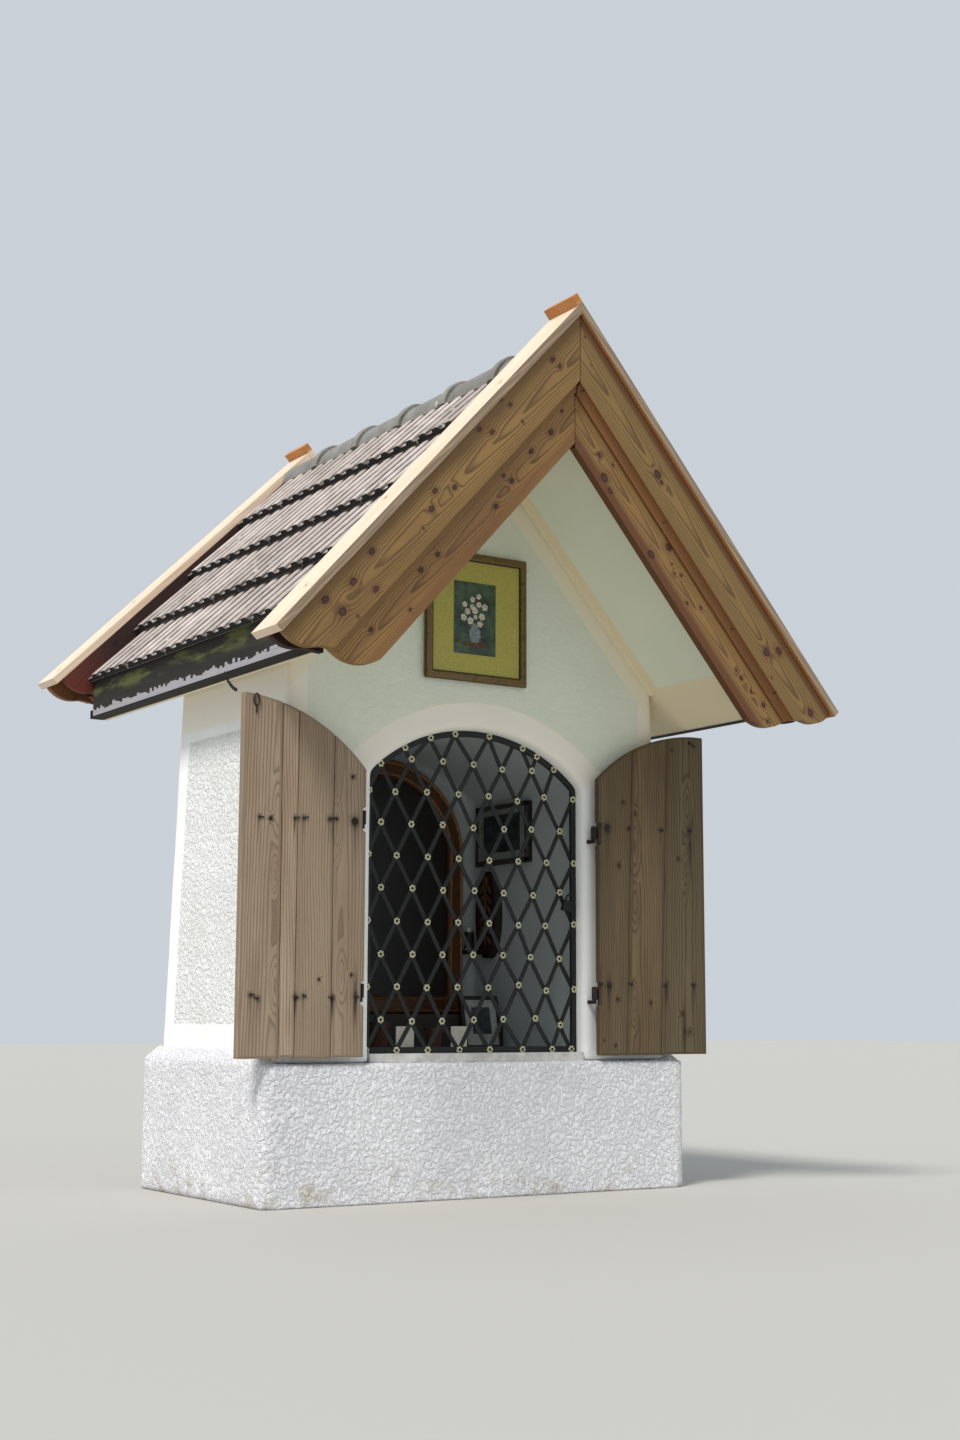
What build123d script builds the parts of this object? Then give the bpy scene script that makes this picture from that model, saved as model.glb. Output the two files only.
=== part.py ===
"""Small rendered wayside chapel with a tiled gable roof, an arched niche behind an iron
lattice and a pair of plank shutters. Millimetres. Z up from the lowest ground point,
the front looks along -Y, X runs to the right seen from the front."""

import os
from math import cos, radians, sin, sqrt, tan

from build123d import *

os.makedirs("parts", exist_ok=True)

seat = 0.3  # mortar or glue line left between pieces that bear on each other

# Masonry
plinth_height = 395
plinth_projection = 45
ledge_rise = 50
wall_half_width = 703  # at the foot of the battered side walls
wall_batter = 0.033  # inward lean of the side walls per unit of height
wall_depth = 750
corner_round = 18
plinth_corner_round = 30
rear_wall_thickness = 110
gable_thickness = 120
head_cover = 122  # masonry over the crown of the niche
gable_rise = 1095  # from there to the top of the verge caps

# Arched niche
niche_half_width = 382
sill_rise = 25
jamb_height = 825
arch_rise = 153
reveal_flare = 14

# Roof planes, measured down and along the slope from the top of the verge caps
roof_pitch = 48.2
front_overhang = 515
rear_overhang = 585
tile_surface = 30
tile_plate = 10
rib_height = 9
rib_pitch = 75
rib_crown = 34
rib_foot = 46
course_count = 4
first_exposure = 245
head_lap = 70
top_tile_run = 80  # upper end of the last course, under the ridge tiles
tile_overhang = 31  # of the first course beyond the fascia
batten_width = 48
batten_clearance = 6  # between the ridge line and the top battens
sarking_top = 92
sarking_thickness = 22
soffit_depth = 200
soffit_thickness = 28
rafter_width = 80
rafter_count = 4
eave_projection = 87  # face of the fascia beyond the foot of the side wall
fascia_thickness = 22
fascia_drip = 6
left_eave_rise = 70  # of the level boxing of the left eave over the foot of the right soffit

# Verges
cap_width = 147
cap_thickness = 24
cap_drip = 12
cap_lap = 29  # of the right cap over the end of the left one
left_cap_reach = 200  # beyond the butt of the first course
right_cap_reach = 243
left_verge_angle = 47.7  # the new front boards are slightly out of true
right_verge_angle = 49.1
verge_shift = 14  # of the joint of the front boards from the ridge line
board_thickness = 28
upper_board_bottom = 181
lower_board_bottom = 284
upper_board_setback = 98  # of the foot joint between the boards from the cap end
lower_board_setback = 190
board_overlap = 40
cove_radius = 20
inner_board_bottom = 200
inner_board_cover = 8  # below the corner of the fascia
rear_verge_angle = 44.7
rear_drop = 25  # of the rear apex under the front one
rear_shift = 26
rear_cap_setback = 114

# Ridge
ridge_radius = 95
ridge_wall = 14
ridge_drop = 70  # of the ridge tiles under the verge apex
ridge_exposure = 300
ridge_collar = 46
ridge_collar_rise = 10

# Shutters
left_hinge_side = 50  # axis beyond the jamb
right_hinge_side = 20
hinge_stand_off = 31  # axis in front of the wall face
leaf_edge_gap = 4
leaf_meeting_gap = 4
leaf_meeting_shift = 27  # of the line where the closed leaves meet, to the left
leaf_thickness = 24
leaf_drop = 8
leaf_cover = 35  # of a closed leaf over the crown of the niche
leaf_radius_gain = 12
plank_gap = 2
plank_count = 3
batten_height = 90
batten_thickness = 18
batten_inset = 22
strap_thickness = 4
strap_height = 30
strap_length = 300
low_hinge_rise = 180  # above the sill
high_hinge_rise = 680
pin_radius = 5
pin_clearance = 0.5
knuckle_wall = 3.5
knuckle_length = 40
pintle_bar = 11
pin_rise = 1  # above the knuckle
knuckle_notch = 14  # half width of the gap in the boards round a hinge
notch_play = 6  # over and under a knuckle and its pintle

# Grille
grille_setback = 43
frame_bar = 18
frame_depth = 10
lattice_bar = 16
lattice_depth = 4
lattice_columns = 14
lattice_rise = 97
lock_width = 42
lock_height = 36
lock_thickness = 16
lock_corner = 6
lock_inset = 40  # centre of the padlock from the jamb
lock_rise = 460  # above the sill

# Pictures and niche fittings
picture_centre_x = -29
picture_width = 366
picture_height = 401
picture_lift = 22  # above the masonry head
picture_depth = 22
picture_bar = 22
altarpiece_side_gap = 64  # beside the altarpiece to the jamb
altarpiece_bar = 60
altarpiece_height = 841
altarpiece_depth = 45
altarpiece_rise = 290  # of its arch
altar_height = 115
altar_depth = 200
altar_end_gap = 7
side_picture_length = 310
side_picture_height = 200
side_picture_rise = 610
side_picture_setback = 360  # from the back of the niche
side_picture_depth = 16
plaque_width = 120
plaque_height = 290
plaque_depth = 30
plaque_rise = 300
plaque_setback = 125
bracket_width = 50
bracket_reach = 58
bracket_thickness = 14
bracket_rise = 330
candle_radius = 16
candle_height = 60
leaning_width = 146
leaning_height = 175
leaning_thickness = 14
leaning_angle = 12
leaning_side_gap = 33  # to the jamb

# Worked out from the sizes above
sill_height = plinth_height + sill_rise
arch_spring = sill_height + jamb_height
arch_crown = arch_spring + arch_rise
head_top = arch_crown + head_cover
apex_height = head_top + gable_rise
rear_apex_height = apex_height - rear_drop
ridge_top = apex_height - ridge_drop
front_face = -wall_depth / 2
rear_face = wall_depth / 2
niche_back = rear_face - rear_wall_thickness
verge_front = front_face - front_overhang
verge_rear = rear_face + rear_overhang
pitch_cos = cos(radians(roof_pitch))
pitch_sin = sin(radians(roof_pitch))
arch_radius = (niche_half_width**2 + arch_rise**2) / (2 * arch_rise)
fascia_face = wall_half_width + eave_projection
fascia_inner = fascia_face - fascia_thickness
eave_run = (fascia_face + tile_overhang + tile_surface * pitch_sin) / pitch_cos
cap_runs = (eave_run + left_cap_reach, eave_run + right_cap_reach)
rear_cap_run = cap_runs[0] - rear_cap_setback
course_exposure = (eave_run - first_exposure - head_lap - top_tile_run) / (course_count - 1)
tile_thickness = tile_plate + rib_height
tile_rise = tile_thickness + seat
tile_tilt = tile_rise / course_exposure
tile_length = course_exposure + head_lap
tiles_front = verge_front + cap_width
tiles_rear = verge_rear - cap_width
hinge_places = {-1: niche_half_width + left_hinge_side, 1: niche_half_width + right_hinge_side}
hinge_y = front_face - hinge_stand_off
hinge_heights = (sill_height + low_hinge_rise, sill_height + high_hinge_rise)
leaf_bottom = sill_height - leaf_drop
leaf_arch_top = arch_crown + leaf_cover
leaf_arch_radius = arch_radius + leaf_radius_gain
picture_bottom = head_top + picture_lift
altarpiece_half_width = niche_half_width - altarpiece_side_gap
altarpiece_radius = (altarpiece_half_width**2 + altarpiece_rise**2) / (2 * altarpiece_rise)
altarpiece_bottom = sill_height + altar_height + seat
altarpiece_top = altarpiece_bottom + altarpiece_height
leaning_x = niche_half_width - leaning_side_gap - leaning_width / 2


def across(y):
    """Plane facing the front at the given depth, local x to the right, local y up."""
    return Plane.XZ.offset(-y)


def slope_point(run, depth, side=1, pitch=roof_pitch, apex=apex_height):
    """Place in the gable plane from the run down the slope and the depth under it."""
    lean = radians(pitch)
    x = run * cos(lean) - depth * sin(lean)
    return (side * x, apex - run * sin(lean) - depth * cos(lean))


def run_at(x, depth, pitch=roof_pitch):
    """Run down the slope at which a layer of the given depth passes x."""
    lean = radians(pitch)
    return (x + depth * sin(lean)) / cos(lean)


def under_roof(x, depth):
    """Height of a roof layer above the given x."""
    return slope_point(run_at(abs(x), depth), depth)[1]


def wall_edge(z):
    """Half width of the battered body at a height."""
    return wall_half_width - wall_batter * (z - plinth_height)


def save(builder, name):
    builder.part.label = name
    export_step(builder.part, f"parts/{name}.step")


def polygon(plane, points):
    """Sketch of one closed polygon on a plane."""
    with BuildSketch(plane) as outline:
        with BuildLine():
            Polyline(*points, close=True)
        make_face()
    return outline.sketch


def arched(plane, half, low, crown, radius, bar=0):
    """Arched outline on a plane, or only its rim where a bar width is given."""
    with BuildSketch(plane) as outline:
        spring = crown - radius + sqrt(radius**2 - half**2)
        with BuildLine():
            Line((-half, low), (half, low))
            Line((half, low), (half, spring))
            ThreePointArc((half, spring), (0, crown), (-half, spring))
            Line((-half, spring), (-half, low))
        make_face()
        if bar:
            inner_half = half - bar
            inner_spring = crown - radius + sqrt((radius - bar) ** 2 - inner_half**2)
            with BuildLine():
                Line((-inner_half, low + bar), (inner_half, low + bar))
                Line((inner_half, low + bar), (inner_half, inner_spring))
                ThreePointArc(
                    (inner_half, inner_spring),
                    (0, crown - bar),
                    (-inner_half, inner_spring),
                )
                Line((-inner_half, inner_spring), (-inner_half, low + bar))
            make_face(mode=Mode.SUBTRACT)
    return outline.sketch


def niche_outline(plane, grow=0):
    """Outline of the niche, grown outwards."""
    return arched(
        plane,
        niche_half_width + grow,
        sill_height,
        arch_crown + grow,
        arch_radius + grow,
    )


# Flared mouth of the niche, a cutting tool for the walls around it
with BuildPart() as mouth:
    loft(
        [
            niche_outline(across(front_face - 1), reveal_flare),
            niche_outline(across(front_face + reveal_flare)),
        ]
    )


# Plinth with its sloping ledge on three sides
plinth_half_width = wall_half_width + plinth_projection
plinth_half_depth = wall_depth / 2 + plinth_projection
with BuildPart() as plinth:
    with BuildSketch(Plane.XY):
        Rectangle(2 * plinth_half_width, 2 * plinth_half_depth)
    extrude(amount=plinth_height)
    with BuildSketch(Plane.XY.offset(plinth_height)):
        Rectangle(2 * plinth_half_width, 2 * plinth_half_depth)
    with BuildSketch(Plane.XY.offset(plinth_height + ledge_rise)):
        Rectangle(2 * wall_half_width, wall_depth)
    loft()
    fillet(plinth.edges().filter_by(Axis.Z), plinth_corner_round)
    with BuildSketch(Plane.XY.offset(plinth_height)):
        Rectangle(2 * wall_half_width, wall_depth)
    extrude(amount=ledge_rise + 1, mode=Mode.SUBTRACT)
    with BuildSketch(Plane.XY.offset(plinth_height)):
        with Locations((0, front_face - plinth_projection)):
            Rectangle(2 * plinth_half_width + 2, 2 * plinth_projection)
    extrude(amount=ledge_rise + 1, mode=Mode.SUBTRACT)
save(plinth, "plinth")

with BuildPart() as niche_floor:
    with BuildSketch(Plane.XY.offset(plinth_height)):
        with Locations((0, (front_face + niche_back) / 2)):
            Rectangle(2 * (niche_half_width - seat), niche_back - front_face - 2 * seat)
    extrude(amount=sill_height - plinth_height)
save(niche_floor, "niche_floor")

for side, name in ((-1, "left_wall"), (1, "right_wall")):
    edge_top = wall_half_width
    for step in range(6):
        edge_top = wall_edge(under_roof(edge_top, soffit_depth + seat))
    with BuildPart() as wall:
        with BuildSketch(across(rear_face)):
            with BuildLine():
                Polyline(
                    (side * niche_half_width, plinth_height),
                    (side * wall_half_width, plinth_height),
                    (side * edge_top, under_roof(edge_top, soffit_depth + seat)),
                    (side * niche_half_width, under_roof(niche_half_width, soffit_depth + seat)),
                    close=True,
                )
            make_face()
        extrude(amount=wall_depth)
        middle = (wall_half_width + edge_top) / 2
        outer = wall.edges().filter_by(lambda e: abs(e.center().X) > middle - corner_round)
        fillet(outer.filter_by(lambda e: e.length > wall_depth + plinth_projection), corner_round)
        add(mouth.part, mode=Mode.SUBTRACT)
    save(wall, name)

with BuildPart() as rear_wall:
    with BuildSketch(Plane.XY.offset(plinth_height)):
        with Locations((0, (niche_back + rear_face) / 2)):
            Rectangle(2 * (niche_half_width - seat), rear_wall_thickness)
    extrude(amount=head_top - plinth_height)
save(rear_wall, "rear_wall")

with BuildPart() as arch_head:
    with BuildSketch(across(niche_back - seat)):
        with BuildLine():
            half = niche_half_width - seat
            Line((-half, arch_spring), (-half, head_top))
            Line((-half, head_top), (half, head_top))
            Line((half, head_top), (half, arch_spring))
            ThreePointArc((half, arch_spring), (0, arch_crown), (-half, arch_spring))
        make_face()
    extrude(amount=niche_back - seat - front_face)
    add(mouth.part, mode=Mode.SUBTRACT)
save(arch_head, "arch_head")

for face, name in ((front_face + gable_thickness, "front_gable"), (rear_face, "rear_gable")):
    with BuildPart() as gable:
        with BuildSketch(across(face)):
            with BuildLine():
                half = niche_half_width - seat
                Polyline(
                    (-half, head_top + seat),
                    (half, head_top + seat),
                    (half, under_roof(half, soffit_depth + seat)),
                    (0, under_roof(0, soffit_depth + seat)),
                    (-half, under_roof(half, soffit_depth + seat)),
                    close=True,
                )
            make_face()
        extrude(amount=gable_thickness)
    save(gable, name)

# Roof layers, from the rendered soffit up to the sarking boards and battens
soffit_front = verge_front + cap_drip + 2 * board_thickness + seat
soffit_rear = verge_rear - cap_drip - 2 * board_thickness - seat


def level_run(z, depth):
    """Run down the slope at which a layer of the given depth passes a height."""
    return (apex_height - z - depth * pitch_cos) / pitch_sin


def roof_layer(plane, side, top, bottom, foot_x, level=0, strip=0, head_x=seat):
    """Section of one roof layer, plumb cut at the ridge and at the eave. Where a level is
    given the layer ends on it, and a strip of it runs on level to the eave."""
    corners = [slope_point(run_at(head_x, top), top, side)]
    if strip:
        corners.append(slope_point(level_run(level + strip, top), top, side))
        corners.append((side * foot_x, level + strip))
    else:
        corners.append(slope_point(run_at(foot_x, top), top, side))
    if level > under_roof(foot_x, bottom):
        corners.append((side * foot_x, level))
        corners.append(slope_point(level_run(level, bottom), bottom, side))
    else:
        corners.append(slope_point(run_at(foot_x, bottom), bottom, side))
    corners.append(slope_point(run_at(head_x, bottom), bottom, side))
    return polygon(plane, corners)


right_eave_level = under_roof(fascia_inner - seat, soffit_depth)
eave_levels = {-1: right_eave_level + left_eave_rise, 1: right_eave_level}


for side, name in ((-1, "left"), (1, "right")):
    with BuildPart() as soffit:
        layer = roof_layer(
            across(soffit_rear),
            side,
            soffit_depth - soffit_thickness,
            soffit_depth,
            fascia_inner - seat,
            eave_levels[side],
            soffit_thickness if side < 0 else 0,
        )
        extrude(layer, amount=soffit_rear - soffit_front)
    save(soffit, f"{name}_soffit")

    with BuildPart() as boarding:
        layer = roof_layer(
            across(tiles_rear - seat),
            side,
            sarking_top,
            sarking_top + sarking_thickness,
            fascia_inner - seat,
        )
        extrude(layer, amount=tiles_rear - tiles_front - 2 * seat)
        for course in range(course_count):
            butt = eave_run - (first_exposure + (course - 1) * course_exposure if course else 0)
            head = butt - (tile_length if course else first_exposure + head_lap)
            head = max(head, run_at(batten_clearance, sarking_top))
            top = tile_surface + tile_thickness + tile_rise * tile_length / course_exposure + seat
            batten = polygon(
                across(tiles_rear - seat),
                [
                    slope_point(head, top, side),
                    slope_point(head + batten_width, top, side),
                    slope_point(head + batten_width, sarking_top, side),
                    slope_point(head, sarking_top, side),
                ],
            )
            extrude(batten, amount=tiles_rear - tiles_front - 2 * seat)
    save(boarding, f"{name}_roof_boarding")

    with BuildPart() as fascia:
        with BuildSketch(across(tiles_rear - seat)):
            with BuildLine():
                fascia_top = tile_surface + tile_thickness + tile_plate
                fascia_bottom = eave_levels[side] - fascia_drip
                Polyline(
                    (side * fascia_inner, fascia_bottom),
                    (side * fascia_face, fascia_bottom),
                    (side * fascia_face, under_roof(fascia_face, fascia_top)),
                    (side * fascia_inner, under_roof(fascia_inner, fascia_top)),
                    close=True,
                )
            make_face()
        extrude(amount=tiles_rear - tiles_front - 2 * seat)
    save(fascia, f"{name}_fascia")

with BuildPart() as rafters:
    bay = (tiles_rear - tiles_front - rafter_width) / (rafter_count - 1)
    for number in range(rafter_count):
        rear_side = tiles_rear - seat - number * (bay - 2 * seat / (rafter_count - 1))
        for side in (-1, 1):
            rafter = roof_layer(
                across(rear_side),
                side,
                sarking_top + sarking_thickness + seat,
                soffit_depth - soffit_thickness - seat,
                fascia_inner - seat,
                eave_levels[side] + soffit_thickness + seat if side < 0 else 0,
            )
            extrude(rafter, amount=rafter_width)
save(rafters, "rafters")


# Ribbed tile courses
def tile_course(side, butt, length, surface):
    """Ribbed section of one course, square to the slope at its butt."""
    low = slope_point(butt, surface, side)
    high = slope_point(butt - length, surface + tile_tilt * length, side)
    start = Vector(low[0], 0, low[1])
    up_slope = (Vector(high[0], 0, high[1]) - start).normalized()
    outward = Vector(side * pitch_sin, 0, pitch_cos)
    plane = Plane(origin=start, x_dir=(0, 1, 0), z_dir=tuple(up_slope))
    flip = 1 if plane.y_dir.dot(outward) > 0 else -1
    width = tiles_rear - tiles_front - 2 * seat
    ribs = int(width // rib_pitch)
    margin = (width - ribs * rib_pitch) / 2
    points = [(tiles_front + seat, -tile_thickness * flip)]
    points.append((tiles_front + seat, -rib_height * flip))
    for number in range(ribs):
        centre = tiles_front + seat + margin + (number + 0.5) * rib_pitch
        points.append((centre - rib_foot / 2, -rib_height * flip))
        points.append((centre - rib_crown / 2, 0))
        points.append((centre + rib_crown / 2, 0))
        points.append((centre + rib_foot / 2, -rib_height * flip))
    points.append((tiles_rear - seat, -rib_height * flip))
    points.append((tiles_rear - seat, -tile_thickness * flip))
    return polygon(plane, points)


for side, name in ((-1, "left"), (1, "right")):
    with BuildPart() as tiles:
        for course in range(course_count):
            if course == 0:
                butt = eave_run
                length = first_exposure + head_lap
                surface = tile_surface + tile_rise - tile_tilt * first_exposure
            else:
                butt = eave_run - first_exposure - (course - 1) * course_exposure
                length = tile_length
                surface = tile_surface
            extrude(tile_course(side, butt, length, surface), amount=length)
    save(tiles, f"{name}_tiles")

# Half round ridge tiles, each with a collar over the next
with BuildPart() as ridge_tiles:
    centre = ridge_top - ridge_radius
    count = int((tiles_rear - tiles_front) // ridge_exposure)
    piece = (tiles_rear - tiles_front - 2 * seat) / (count + 0.5)
    for number in range(count + 1):
        start = tiles_front + seat + max(0, number - 0.5) * piece
        length = piece / 2 if number == 0 else piece
        with BuildSketch(across(start + length)):
            with Locations((0, centre)):
                Circle(ridge_radius)
                Circle(ridge_radius - ridge_wall, mode=Mode.SUBTRACT)
        extrude(amount=length)
        with BuildSketch(across(start + ridge_collar)):
            with Locations((0, centre)):
                Circle(ridge_radius + ridge_collar_rise)
                Circle(ridge_radius - ridge_wall, mode=Mode.SUBTRACT)
        extrude(amount=ridge_collar)
    with BuildSketch(across(tiles_rear + 1)):
        with BuildLine():
            top_butt = top_tile_run + tile_length
            low_x, low_z = slope_point(top_butt, tile_surface - seat)
            high_x, high_z = slope_point(
                top_butt - tile_length,
                tile_surface + tile_rise * tile_length / course_exposure - seat,
            )
            crown_z = high_z + (high_z - low_z) * high_x / (low_x - high_x)
            Polyline(
                (0, crown_z),
                (low_x, low_z),
                (low_x, low_z - ridge_radius),
                (-low_x, low_z - ridge_radius),
                (-low_x, low_z),
                close=True,
            )
        make_face()
    extrude(amount=tiles_rear - tiles_front + 2, mode=Mode.SUBTRACT)
save(ridge_tiles, "ridge_tiles")


# Verges: a cap board over an outer pair of bargeboards and an inner board
def verge(label, face, direction, angles, joint_x, apex, runs):
    """Boards of one verge. angles and runs are those of the left and the right slope,
    direction is 1 where the wall lies at +Y."""

    def place(run, depth, side):
        angle = angles[0] if side < 0 else angles[1]
        x, z = slope_point(run, depth, side, angle, apex)
        return (joint_x + x, z)

    def meeting(left_depth, right_depth):
        """Where a layer of the left slope crosses one of the right slope."""
        left, right = radians(angles[0]), radians(angles[1])
        x = (left_depth / cos(left) - right_depth / cos(right)) / (tan(left) + tan(right))
        return (joint_x + x, apex - right_depth / cos(right) - x * tan(right))

    def depth_under(x, z, side):
        """Depth of a place under the top plane of the verge."""
        lean = radians(angles[0] if side < 0 else angles[1])
        return (apex - z) * cos(lean) - side * (x - joint_x) * sin(lean)

    def plate(front, thickness, top, bottom, foot, side, cove=0):
        """One board with a plumb joint at the apex and a foot given stretch by stretch."""
        angle = angles[0] if side < 0 else angles[1]
        head_low = place(run_at(seat, bottom, angle), bottom, side)
        head_high = place(run_at(seat, top, angle), top, side)
        placed = [[place(run, depth, side) for run, depth in stretch] for stretch in foot]
        with BuildPart() as board:
            with BuildSketch(across(front + thickness if direction > 0 else front)):
                with BuildLine():
                    Line(head_low, head_high)
                    Line(head_high, placed[0][0])
                    for stretch in placed:
                        if len(stretch) == 3:
                            ThreePointArc(*stretch)
                        else:
                            Line(*stretch)
                    Line(placed[-1][-1], head_low)
                make_face()
            extrude(amount=thickness)
            if cove:
                low_x, low_z = place(-cove, bottom, side)
                down = (side * cos(radians(angle)), 0, -sin(radians(angle)))
                with BuildSketch(Plane(origin=(low_x, front, low_z), z_dir=down)):
                    Circle(cove)
                extrude(amount=max(runs) + cove, mode=Mode.SUBTRACT)
        return board.part

    board_face = face + direction * cap_drip
    lower_face = board_face + direction * (board_thickness + seat)
    inner_face = face + direction * (cap_width - board_thickness)
    board_top = cap_thickness + seat
    lower_top = upper_board_bottom - board_overlap
    ogee = upper_board_bottom - cap_thickness
    boards = {"upper": [], "lower": [], "inner": []}
    for side, run in ((-1, runs[0]), (1, runs[1])):
        foot_run = run - upper_board_setback
        nose_run = run - lower_board_setback
        step_depth = cap_thickness + ogee * 0.63
        step_run = foot_run + upper_board_setback * 0.45
        hollow_run = step_run - ogee * 0.09
        hollow_depth = step_depth + ogee * 0.065
        upper_foot = [
            (
                (run - ogee * 0.08, board_top),
                (run - ogee * 0.14, step_depth * 0.7),
                (step_run, step_depth),
            ),
            ((step_run, step_depth), (hollow_run, hollow_depth)),
            (
                (hollow_run, hollow_depth),
                (foot_run + ogee * 0.08, (hollow_depth + upper_board_bottom) / 2),
                (foot_run, upper_board_bottom),
            ),
        ]
        lower_foot = [
            ((foot_run + ogee * 0.03, lower_top), (foot_run, upper_board_bottom)),
            (
                (foot_run, upper_board_bottom),
                (
                    foot_run - ogee * 0.16,
                    upper_board_bottom + (lower_board_bottom - upper_board_bottom) * 0.58,
                ),
                (nose_run, lower_board_bottom),
            ),
        ]
        eave_corner = depth_under(side * fascia_face, eave_levels[side] - fascia_drip, side)
        inner_bottom = max(inner_board_bottom, eave_corner + inner_board_cover)
        inner_foot = [
            (
                (run - ogee * 0.2, board_top),
                (run - ogee * 0.3, step_depth * 0.8),
                (step_run - ogee * 0.13, step_depth),
            ),
            (
                (step_run - ogee * 0.13, step_depth),
                (foot_run - ogee * 0.2, inner_bottom),
            ),
        ]
        thickness = board_thickness
        boards["upper"].append(
            plate(board_face, thickness, board_top, upper_board_bottom, upper_foot, side, cove_radius)
        )
        boards["lower"].append(
            plate(lower_face, thickness - seat, lower_top, lower_board_bottom, lower_foot, side)
        )
        boards["inner"].append(
            plate(inner_face, thickness, board_top, inner_bottom, inner_foot, side)
        )

    left_cap = [
        meeting(0, cap_thickness + seat),
        place(runs[0], 0, -1),
        place(runs[0], cap_thickness, -1),
        meeting(cap_thickness, cap_thickness + seat),
    ]
    right_cap = [
        place(-cap_lap, 0, 1),
        place(runs[1], 0, 1),
        place(runs[1], cap_thickness, 1),
        place(-cap_lap, cap_thickness, 1),
    ]
    cap_rear = face + (cap_width if direction > 0 else 0)
    with BuildPart() as cap:
        extrude(polygon(across(cap_rear), left_cap), amount=cap_width)
        extrude(polygon(across(cap_rear), right_cap), amount=cap_width)
    save(cap, f"{label}_verge_caps")
    with BuildPart() as upper:
        add(boards["upper"])
    save(upper, f"{label}_upper_bargeboards")
    with BuildPart() as lower:
        add(boards["lower"])
    save(lower, f"{label}_lower_bargeboards")
    with BuildPart() as inner:
        add(boards["inner"])
        trim = soffit_depth - soffit_thickness - seat
        foot_x = fascia_inner - seat
        foot_z = under_roof(foot_x, trim)
        strip_top = eave_levels[-1] + soffit_thickness + seat
        below = polygon(
            across(inner_face + (board_thickness if direction > 0 else 0) + 1),
            [
                (0, under_roof(0, trim)),
                (foot_x, foot_z),
                (foot_x, foot_z - lower_board_bottom),
                (-foot_x, foot_z - lower_board_bottom),
                (-foot_x, strip_top),
                slope_point(level_run(strip_top, trim), trim, -1),
            ],
        )
        extrude(below, amount=board_thickness + 2, mode=Mode.SUBTRACT)
    save(inner, f"{label}_inner_boards")


verge(
    "front",
    verge_front,
    1,
    (left_verge_angle, right_verge_angle),
    verge_shift,
    apex_height,
    cap_runs,
)
verge(
    "rear",
    verge_rear,
    -1,
    (rear_verge_angle, rear_verge_angle),
    rear_shift,
    rear_apex_height,
    (rear_cap_run, rear_cap_run),
)


# Shutters, drawn open and flat against the front wall
def leaf_height(far, side):
    """Top of a leaf at a distance from its outer edge, which is the meeting edge when shut."""
    shut_x = side * (far + leaf_meeting_gap) - leaf_meeting_shift
    return leaf_arch_top - leaf_arch_radius + sqrt(leaf_arch_radius**2 - shut_x**2)


knuckle_radius = pin_radius + pin_clearance + knuckle_wall
board_back = hinge_y - 1
for side, name in ((-1, "left"), (1, "right")):
    hinge_x = hinge_places[side]
    leaf_width = hinge_x + side * leaf_meeting_shift - leaf_edge_gap - leaf_meeting_gap
    leaf_outer = hinge_x + leaf_edge_gap + leaf_width
    plank_width = (leaf_width - (plank_count - 1) * plank_gap) / plank_count
    with BuildPart() as boards:
        for number in range(plank_count):
            far = number * (plank_width + plank_gap)
            near = far + plank_width
            with BuildSketch(across(board_back)):
                with BuildLine():
                    outer_x = side * (leaf_outer - far)
                    inner_x = side * (leaf_outer - near)
                    middle = side * (leaf_outer - (far + near) / 2)
                    Line((inner_x, leaf_bottom), (outer_x, leaf_bottom))
                    Line((outer_x, leaf_bottom), (outer_x, leaf_height(far, side)))
                    ThreePointArc(
                        (outer_x, leaf_height(far, side)),
                        (middle, leaf_height((far + near) / 2, side)),
                        (inner_x, leaf_height(near, side)),
                    )
                    Line((inner_x, leaf_height(near, side)), (inner_x, leaf_bottom))
                make_face()
            extrude(amount=leaf_thickness)
        for height in hinge_heights:
            with BuildSketch(across(board_back + 1)):
                with Locations((side * hinge_x, height - pintle_bar / 2)):
                    Rectangle(2 * knuckle_notch, knuckle_length + pintle_bar + 2 * notch_play)
            extrude(amount=leaf_thickness + 2, mode=Mode.SUBTRACT)
    save(boards, f"{name}_shutter_boards")

    strap_back = board_back + seat
    batten_front = strap_back + strap_thickness + seat
    batten_length = leaf_width - 2 * batten_inset
    batten_x = side * (leaf_outer - leaf_width / 2)
    with BuildPart() as battens:
        for height in hinge_heights:
            with BuildSketch(across(batten_front + batten_thickness)):
                with Locations((batten_x, height)):
                    Rectangle(batten_length, batten_height)
            extrude(amount=batten_thickness + strap_thickness + seat)
            with BuildSketch(across(strap_back + strap_thickness + seat)):
                with Locations((side * (hinge_x + strap_length / 2), height)):
                    Rectangle(strap_length + 2 * seat, strap_height + 2 * seat)
            extrude(amount=strap_thickness + 2 * seat, mode=Mode.SUBTRACT)
    save(battens, f"{name}_shutter_battens")

    with BuildPart() as straps:
        for height in hinge_heights:
            with BuildSketch(across(strap_back + strap_thickness)):
                with Locations((side * (hinge_x + strap_length / 2), height)):
                    Rectangle(strap_length, strap_height)
            extrude(amount=strap_thickness)
            with BuildSketch(Plane.XY.offset(height - knuckle_length / 2)):
                with Locations((side * hinge_x, hinge_y)):
                    Circle(knuckle_radius)
            extrude(amount=knuckle_length)
            with BuildSketch(Plane.XY.offset(height - knuckle_length / 2)):
                with Locations((side * hinge_x, hinge_y)):
                    Circle(pin_radius + pin_clearance)
            extrude(amount=knuckle_length, mode=Mode.SUBTRACT)
    save(straps, f"{name}_shutter_hinges")

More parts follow.
